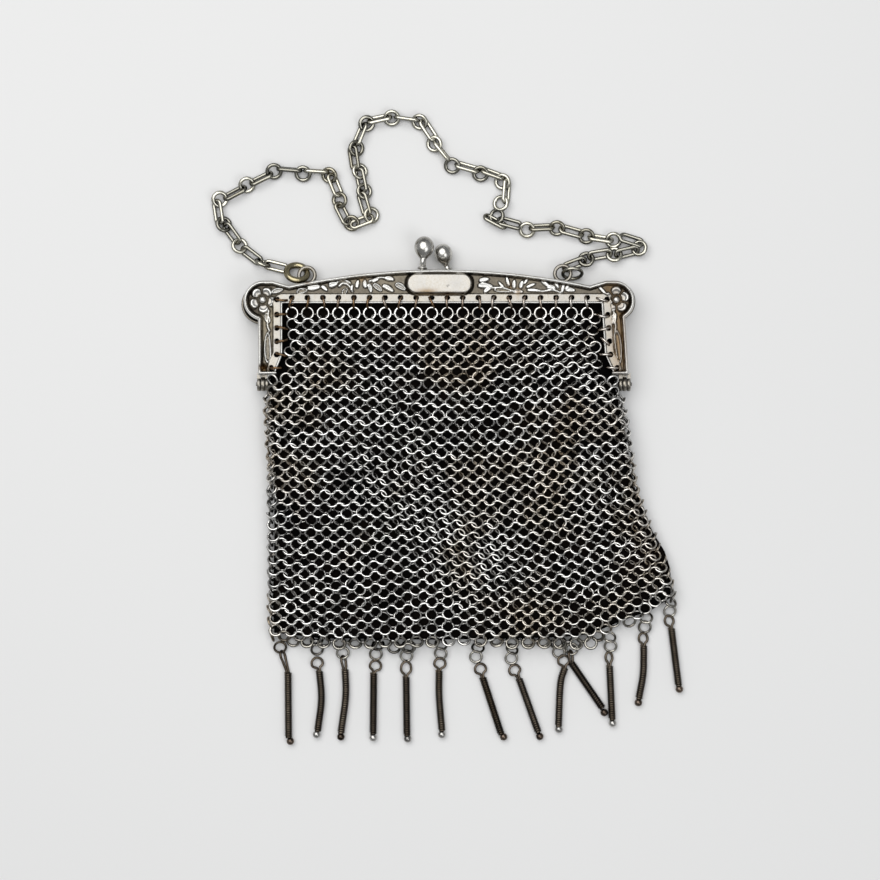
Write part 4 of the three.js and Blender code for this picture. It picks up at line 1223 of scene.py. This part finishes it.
# Lower edge of the bag: x, y
BAG_HEM = np.array([
    (-43.0, -84.6), (-30.0, -86.2), (0.0, -86.6), (30.0, -86.0), (37.6, -85.2), (45.6, -81.9),
    (53.6, -78.9), (58.1, -75.9), (60.0, -74.5),
])
HINGE_LINE = -21.0
FIRST_ROW = -2.4
ROW_PITCH_TOP = 1.36
ROW_PITCH_HEM = 1.53
# No ring lies further out than these beside the hinge barrels
BARREL_CLEAR_LEFT = 41.6
BARREL_CLEAR_RIGHT = 43.2
# Where the upper pieces of the mail end, and how deep the edge of its hem is
MAIL_MIDDLE = -44
HEM_SPARE = 0.9
HEM_DEPTH = 2.3
# How much painted shade darkens the sunken half of a mail ring, where it lies behind its neighbours
MAIL_SUNK_SHADE = 0.5
MAIL_STEPS = 14
MAIL_WIRE_SIDES = 5


def bag_at(y):
    """Left edge, right edge and height of the front sheet at y."""
    below = np.minimum(y, HINGE_LINE)
    left = np.interp(-below, -BAG_EDGES[:, 0], BAG_EDGES[:, 1])
    right = np.interp(-below, -BAG_EDGES[:, 0], BAG_EDGES[:, 2])
    fall = smooth((HINGE_LINE - 4 - y) / 40)
    return left + 0.3, right - 0.3, MAIL_FRONT_TOP + (MAIL_FRONT_HEM - MAIL_FRONT_TOP) * fall


def folds(x, y):
    """Slow rise and fall of the front sheet, in millimetres, none at the mouth."""
    wave = (
        0.28 * np.sin(x / 7.3 + 0.9 * np.sin(y / 17)) * np.sin(y / 11 + 1.3)
        + 0.2 * np.sin(x / 4.1 + y / 9.2 + 0.6) + 0.16 * np.sin(y / 5.3 - x / 13))
    return 0.8 * wave * smooth(-y / 14)


def sag(x, y):
    """How far the rows hang or rise: one broad dip in the upper part and two small ones below it."""
    upper = 2.8 * np.exp(-((x - 8) / 22) ** 2) * smooth((-y - 8) / 30) * smooth((y + 80) / 35)
    lower = 0.8 * np.cos((x + 4) / 8.3) * smooth((-y - 45) / 15) * smooth((y + 88) / 14)
    return lower - upper


def mail_rows():
    """Heights of the rows, from the mouth to below the hem."""
    rows = [FIRST_ROW]
    while rows[-1] > -89:
        share = (FIRST_ROW - rows[-1]) / 85
        rows.append(rows[-1] - ROW_PITCH_TOP - share * (ROW_PITCH_HEM - ROW_PITCH_TOP))
    return rows


def mail_lattice():
    """Places and leans of all rings of the bag, row by row round the tube."""
    places, leans, depths = [], [], []
    for row, y in enumerate(mail_rows()):
        left, right, top = bag_at(y)
        width = right - left
        thick = top - MAIL_BACK
        bend = math.pi * thick / 2
        flat = width - thick
        around = 2 * (flat + bend)
        shift = 0.5 if row % 2 else 0.0
        for column in range(MAIL_COLUMNS):
            s = ((column + shift) / MAIL_COLUMNS * around + bend / 2) % around
            if s < bend:
                angle = math.pi / 2 + (bend - s) / bend * math.pi
                x = left + thick / 2 + thick / 2 * math.cos(angle)
                z = MAIL_BACK + thick / 2 + thick / 2 * math.sin(angle)
                lean = angle - math.pi / 2
            elif s < bend + flat:
                x, z, lean = left + thick / 2 + (s - bend), top, 0.0
            elif s < 2 * bend + flat:
                angle = math.pi / 2 - (s - bend - flat) / bend * math.pi
                x = right - thick / 2 + thick / 2 * math.cos(angle)
                z = MAIL_BACK + thick / 2 + thick / 2 * math.sin(angle)
                lean = angle - math.pi / 2
            else:
                x, z, lean = right - thick / 2 - (s - 2 * bend - flat), MAIL_BACK, math.pi
            if y > HINGE_LINE and abs(math.cos(lean)) > 0.99:
                x = at_holes(x, (left + thick / 2 - bend / 2), around / MAIL_COLUMNS, y)
            places.append((x, y, z))
            leans.append(lean)
            depths.append(row)
    return np.array(places), np.array(leans), np.array(depths)


def at_holes(x, start, pitch, y):
    """Draws a ring's x towards the spacing of the frame's holes, fully so at the mouth."""
    phase = (0.5 - start / pitch) % 1
    phase -= round(phase)
    share = float(smooth((y - HINGE_LINE) / (FIRST_ROW - HINGE_LINE)))
    return x + share * ((x / pitch + phase) * TOP_HOLE_PITCH - x)


def mail_bag():
    """The bag's rings, four in one: front and back, each in two pieces, and the hem."""
    draw = np.random.default_rng(5)
    places, lean, rows = mail_lattice()
    x, y, z = places.T
    facing = np.cos(lean)
    flat_front, flat_back = facing > 0.6, facing < -0.6
    hem = np.interp(x, BAG_HEM[:, 0], BAG_HEM[:, 1])
    keep = y > hem + HEM_SPARE + draw.uniform(-0.5, 0.7, len(x))
    mouth_low, mouth_high = -LEFT["mouth"] + 1.2, RIGHT["mouth"] - 1.2
    beside = (x < mouth_low) | (x > mouth_high) | ~(flat_front | flat_back)
    keep &= ~((y > -LEG_LENGTH - 0.6) & beside)
    near_barrel = (x < -BARREL_CLEAR_LEFT) | (x > BARREL_CLEAR_RIGHT)
    keep &= ~((y > -BARREL_DROP - 2.6) & near_barrel)
    z = z + np.where(flat_front, folds(x, y), 0)
    slack = smooth(-y / 20)
    x = x + slack * (0.22 * np.sin(y / 6.1 + x / 9) + draw.normal(0, 0.1, len(x)))
    y = y + slack * (0.3 * np.sin(x / 8.3 + y / 15) + 0.12 * np.sin(x / 2.9 + y / 4.3))
    y = y + draw.normal(0, 0.07, len(x)) * slack + sag(x, y)
    z = z + draw.normal(0, 0.05, len(x))
    lie = np.where(rows % 2, -MAIL_TILT_DOWN, MAIL_TILT_UP) * np.where(rows == 0, 0.15, 1)
    limp = 5 * np.sin(x / 5.3 + 1.7 * np.sin(y / 7.1)) + draw.normal(0, 5, len(x))
    tilt = lie + limp * slack
    tilt = np.radians(np.where(flat_back, np.clip(tilt, -BACK_TILT, BACK_TILT), tilt))
    yaw = 6 * np.sin(y / 4.7 + x / 3.9) + draw.normal(0, 6, len(x))
    yaw = np.radians(np.where(flat_back, np.clip(yaw, -BACK_YAW, BACK_YAW), yaw)) * (0.4 + 0.6 * slack)
    turned = turns_about("Y", -lean) @ turns_about("X", tilt) @ turns_about("Y", yaw)
    tones = np.clip(draw.normal(0.82, 0.2, len(x)), 0.15, 1)
    reach = MAIL_RADIUS * np.sqrt(1 - turned[:, 2, 2] ** 2) + HEM_WIRE + 0.02
    points = np.column_stack([x, y, np.maximum(z, np.maximum(reach, MAIL_BACK))])
    outward = np.column_stack([-np.sin(lean), np.zeros(len(x)), np.cos(lean)])
    at_hem = y < hem + HEM_DEPTH
    upper = y > MAIL_MIDDLE
    groups = {
        "mail_front_upper": flat_front & upper, "mail_front_lower": flat_front & ~upper & ~at_hem,
        "mail_back_upper": ~flat_front & upper, "mail_back_lower": ~flat_front & ~upper & ~at_hem,
        "mail_hem": at_hem,
    }
    for name, chosen in groups.items():
        chosen = chosen & keep
        wire, material = (HEM_WIRE, DROP_WIRE) if name == "mail_hem" else (MAIL_WIRE, MAIL_SILVER)
        made = links_at(
            name, points[chosen], turned[chosen], tones[chosen], material,
            MAIL_RADIUS, wire, MAIL_STEPS, MAIL_WIRE_SIDES, outward=outward[chosen], sunk_shade=MAIL_SUNK_SHADE)
        finish_piece(made, "mail_silver", "mail_bag")


mail_bag()


# Lining: its cloth lies just inside the mail's two sheets. It is a guessed lining, near-black so that it also
# stands in as painted shade in the gaps between the rings
LINING_UNDER_MAIL = 1.15
LINING_OVER_BACK = 2.32
LINING_LEAST_GAP = 0.12
LINING_SIDE = 0.9
LINING_IN_FRAME = 2.3
LINING_TOP = 0.9
LINING_ABOVE_HEM = 2.6


def lining_edges(y):
    """Left and right edges of the lining at y: behind the frame's flange, then inside the bag."""
    left, right, _ = bag_at(y)
    in_frame = smooth((y + LEG_LENGTH - 0.5) / 1.5)
    frame_left, frame_right = (float(leg_x(side, side["mouth"] + LINING_IN_FRAME, y)) for side in SIDES)
    left = left + LINING_SIDE
    right = right - LINING_SIDE
    return left + in_frame * (frame_left - left), right + in_frame * (frame_right - right)


def lining():
    """A thin pouch of near-black cloth, a guessed lining that is also painted shade for the gaps between the
    rings: two layers, sewn at both sides and folded at the bottom.
    """
    across, down = 90, 84
    share = np.linspace(0, 1, across + 1)
    fullness = np.sqrt(1 - np.abs(2 * share - 1) ** 10)
    layers = []
    for step in range(down + 1):
        left, right = lining_edges(LINING_TOP - step)
        x = left + (right - left) * share
        hem = np.interp(x, BAG_HEM[:, 0], BAG_HEM[:, 1]) + LINING_ABOVE_HEM
        y = LINING_TOP + (hem - LINING_TOP) * step / down
        front = np.maximum(
            bag_at(y)[2] - LINING_UNDER_MAIL + folds(x, y), LINING_OVER_BACK + LINING_LEAST_GAP)
        middle = (front + LINING_OVER_BACK) / 2
        open_by = (front - middle) * fullness * (step < down)
        layers.append([
            np.column_stack([x, y, middle + open_by]), np.column_stack([x, y, middle - open_by])])
    points = np.array(layers)
    width = across + 1
    index = np.arange(points.shape[0] * 2 * width).reshape(points.shape[0], 2, width)
    index[:, 1, 0] = index[:, 0, 0]
    index[:, 1, -1] = index[:, 0, -1]
    index[-1, 1, :] = index[-1, 0, :]
    faces = []
    for upper, lower in zip(index, index[1:]):
        for i in range(across):
            faces.append((lower[0, i], lower[0, i + 1], upper[0, i + 1], upper[0, i]))
            faces.append((upper[1, i], upper[1, i + 1], lower[1, i + 1], lower[1, i]))
    used, packed = np.unique(np.array(faces), return_inverse=True)
    whole = packed.reshape(len(faces), 4).tolist()
    made = piece_from("lining_shade_cloth", points.reshape(-1, 3)[used], whole, LINING_SHADE_CLOTH)
    finish_piece(made, "lining_dark")


HANGING_FRONT = FRONT_PARTING + 2.85
HANGING_BACK = BACK_PARTING - 2.1
HANGING_THICKER = 0.03


def hanging_rings():
    """Rings through the frame's holes, which carry the first row of the mail."""
    draw = np.random.default_rng(8)
    points, matrices, tones = [], [], []
    for x, y in hole_centres():
        top = abs(y - HOLE_EDGE) < 0.1
        if top:
            centre, heading = (x, y - MAIL_RADIUS + 0.25), math.pi / 2
        else:
            inward = -1 if x > 0 else 1
            centre, heading = (x + inward * (MAIL_RADIUS - 0.25), y), 0.0
        for level in (HANGING_FRONT, HANGING_BACK):
            points.append((*centre, level))
            sway = math.radians(draw.normal(0, 13))
            turn = turns_about("Z", [heading + sway]) @ turns_about("X", [math.pi / 2 + draw.normal(0, 0.15)])
            matrices.append(turn[0])
            tones.append(np.clip(0.25 + x / 90 + draw.uniform(-0.2, 0.25), 0, 0.8))
    made = links_at(
        "hanging_rings", points, np.array(matrices), tones, HANGING_WIRE,
        MAIL_RADIUS, MAIL_WIRE + HANGING_THICKER, 18, 6)
    return finish_piece(made, "mail_silver")


lining()
hanging_rings()


# Fringe drops. form says how the eye lies and bright which metal the ball is. ring, eye and ball are the
# middles of the jump ring, the wire eye and the ball. bar has the wound bar's points from its top down.

DROP_LEVEL = 1.0
DROP_PARTS = ("form", "bright", "ring", "eye", "ball", "bar")
DROPS = [dict(zip(DROP_PARTS, row)) for row in (
    ("edge", False, (-40.05, -86.0), (-39.35, -88.3), (-37.5, -109.6),
     [(-38.1, -92.4), (-37.95, -108.6)]),
    ("round", True, (-30.75, -86.5), (-30.75, -90.0), (-30.9, -107.9),
     [(-30.2, -92.1), (-29.7, -99.1), (-30.65, -107.0)]),
    ("edge", False, (-24.3, -87.4), (-24.1, -89.6), (-24.8, -108.5),
     [(-23.75, -91.6), (-23.6, -98.4), (-24.8, -107.5)]),
    ("round", True, (-16.0, -87.7), (-16.1, -90.7), (-16.7, -108.7),
     [(-16.55, -92.6), (-16.7, -107.7)]),
    ("pointed", True, (-8.3, -88.1), (-8.4, -91.3), (-8.0, -109.0),
     [(-8.4, -93.5), (-8.2, -108.1)]),
    ("round", True, (0.3, -87.55), (0.1, -90.1), (0.6, -107.9),
     [(-0.1, -91.95), (-0.1, -98.4), (0.6, -106.9)]),
    ("round", False, (9.15, -88.4), (10.3, -91.5), (16.1, -108.5),
     [(10.9, -93.7), (15.45, -107.7)]),
    ("round", False, (18.05, -88.75), (18.9, -91.8), (25.2, -108.4),
     [(20.05, -94.0), (24.8, -107.3)]),
    ("round", True, (30.0, -87.2), (31.2, -89.4), (30.0, -106.6),
     [(31.5, -91.2), (30.4, -95.3), (29.9, -105.8)]),
    ("edge", False, (33.25, -86.45), (33.0, -88.2), (41.4, -102.4),
     [(33.2, -90.0), (40.9, -101.2)]),
    ("twisted", True, (43.0, -85.7), (42.6, -88.6), (43.5, -105.1),
     [(42.75, -90.7), (43.4, -104.1)]),
    ("open", False, (51.6, -80.9), (51.2, -83.8), (50.0, -99.9),
     [(51.35, -85.6), (51.2, -92.6), (50.1, -98.9)]),
    ("open", False, (57.9, -76.9), (57.75, -79.4), (60.3, -96.5),
     [(58.3, -81.3), (60.1, -95.6)]),
)]
EYE_WIDTH = {"round": 1.38, "pointed": 1.25, "edge": 0.5, "twisted": 0.85, "open": 1.1}
EYE_WIRE = 0.33
DROP_RING_WIRE = 0.31
EYE_CREST = 1.4
POINTED_CREST = 1.75
EYE_RISE = 0.25
EYE_RISE_ON_EDGE = 0.7
EYE_TONE = 0.7
DROP_RING_LEVEL = 1.1
UPPER_RING_LEVEL = 1.5
UPPER_RING_RISE = 2.3
COIL_TURNS = 27
COIL_STEPS = 10
COIL_RADIUS = 0.68
COIL_WIRE = 0.3
COIL_CORE = 0.6


def drop_eye(drop):
    """The eye: one wire bent out of the bar's top, round and back into it."""
    top = np.array(drop["bar"][0])
    middle = np.array(drop["eye"])
    axis = middle - top
    length = np.linalg.norm(axis)
    axis /= length
    side = np.array([-axis[1], axis[0]])
    width = EYE_WIDTH[drop["form"]]
    crest = EYE_CREST if drop["form"] != "pointed" else POINTED_CREST
    shape = [
        (-0.2, 0.16), (length - crest * 0.9, 0.38), (length - crest * 0.48, width * 0.85), (length, width),
        (length + crest * 0.62, width * 0.78), (length + crest, 0.0),
    ]
    rise = EYE_RISE_ON_EDGE if drop["form"] == "edge" else EYE_RISE
    half = [(*(top + axis * along + side * out), DROP_LEVEL + rise * out / width) for along, out in shape]
    back = [
        (*(top + axis * along - side * out), DROP_LEVEL - rise * out / width) for along, out in shape[:-1]]
    return wear(wire_along("eye", curve_through(half + back[::-1], 6), EYE_WIRE, 8, BLACKENED_WIRE), EYE_TONE)


def fringe_drop(number, drop, draw):
    """A whole drop: wound bar, eye, ball and the rings that it hangs from."""
    name = f"drop_{number:02d}"
    track = curve_through([(x, y, DROP_LEVEL) for x, y in drop["bar"]], 12)
    length = np.linalg.norm(np.diff(track, axis=0), axis=1).sum()
    turns = round(COIL_TURNS * length / 15)
    carrier = piece_from(name + "_path", track, [], None, [(i, i + 1) for i in range(len(track) - 1)])
    wound = WINDING.apply(
        name + "_wound", carrier, Points=turns * COIL_STEPS, Turn_Angle=2 * math.pi / COIL_STEPS,
        Coil=COIL_RADIUS * MM, Wire=COIL_WIRE * MM, Core=COIL_CORE * MM, Wire_Sides=6,
        Material=BLACKENED_WIRE)
    parts = [wear(wound, draw.uniform(0.3, 0.8)), drop_eye(drop)]
    ball = np.array([*drop["ball"], DROP_LEVEL])
    way = Vector(track[-1] - track[-2])
    shape = [(0.02, -0.95), (0.45, -0.86), (0.62, -0.72), (0.86, -0.45), (0.98, 0.0), (0.86, 0.5),
             (0.5, 0.86), (0.02, 0.97)]
    parts.append(turned_body("ball", shape, ball, way, 20, BALL_SILVER if drop["bright"] else BALL_DARK))
    x, y = drop["ring"]
    rings = [(x, y, DROP_RING_LEVEL)]
    tilt = [math.radians(draw.uniform(12, 26))]
    if drop["form"] != "edge":
        rings.append((x + draw.uniform(-0.6, 0.6), y + UPPER_RING_RISE, UPPER_RING_LEVEL))
        tilt.append(math.radians(-draw.uniform(38, 50)))
    turned = turns_about("Z", draw.uniform(-0.6, 0.6, len(rings))) @ turns_about("X", np.array(tilt))
    parts.append(links_at(
        name + "_rings", rings, turned, draw.uniform(0.1, 1, len(rings)), DROP_WIRE,
        MAIL_RADIUS, DROP_RING_WIRE, 20, 8))
    return finish_piece(join(name + "_wired", parts), "drop_blackened", name)


drop_draw = np.random.default_rng(21)
for number, drop in enumerate(DROPS, 1):
    fringe_drop(number, drop, drop_draw)


# Floor, light and camera


def floor():
    size = 2000
    corners = [(-size, -size, 0), (size, -size, 0), (size, size, 0), (-size, size, 0)]
    made = piece_from("floor", corners, [(0, 1, 2, 3)], floor_finish())


def soft_light(name, place_mm, size, power, colour=(1, 1, 1)):
    data = bpy.data.lights.new(name, "AREA")
    data.shape = "DISK"
    data.size = size
    data.energy = power
    data.color = colour
    lamp = bpy.data.objects.new(name, data)
    lamp.location = place([place_mm])[0]
    aim = Vector(place([(0, -30, 0)])[0]) - lamp.location
    lamp.rotation_euler = aim.to_track_quat("-Z", "Y").to_euler()
    bpy.context.scene.collection.objects.link(lamp)


def sky():
    world = bpy.data.worlds.new("studio")
    world.use_nodes = True
    background = world.node_tree.nodes["Background"]
    background.inputs["Color"].default_value = (0.96, 0.98, 1.0, 1)
    background.inputs["Strength"].default_value = 0.3
    bpy.context.scene.world = world


CAMERA_X = 0.125
CAMERA_Y = -33.9
CAMERA_HEIGHT = 523.4
CAMERA_SENSOR = 36
CAMERA_LENS = 85


def camera():
    data = bpy.data.cameras.new("camera")
    data.sensor_width = CAMERA_SENSOR
    data.sensor_height = CAMERA_SENSOR
    data.lens = CAMERA_LENS
    data.clip_start = 0.01
    made = bpy.data.objects.new("camera", data)
    made.location = place([(CAMERA_X, CAMERA_Y, CAMERA_HEIGHT)])[0]
    bpy.context.scene.collection.objects.link(made)
    bpy.context.scene.camera = made


floor()
sky()
soft_light("key", (-160, 200, 700), 0.95, 5.9, (1.0, 0.995, 0.985))
soft_light("fill", (330, -260, 620), 0.4, 1.0, (0.98, 0.99, 1.0))
camera()
bpy.context.scene.view_settings.view_transform = "Standard"
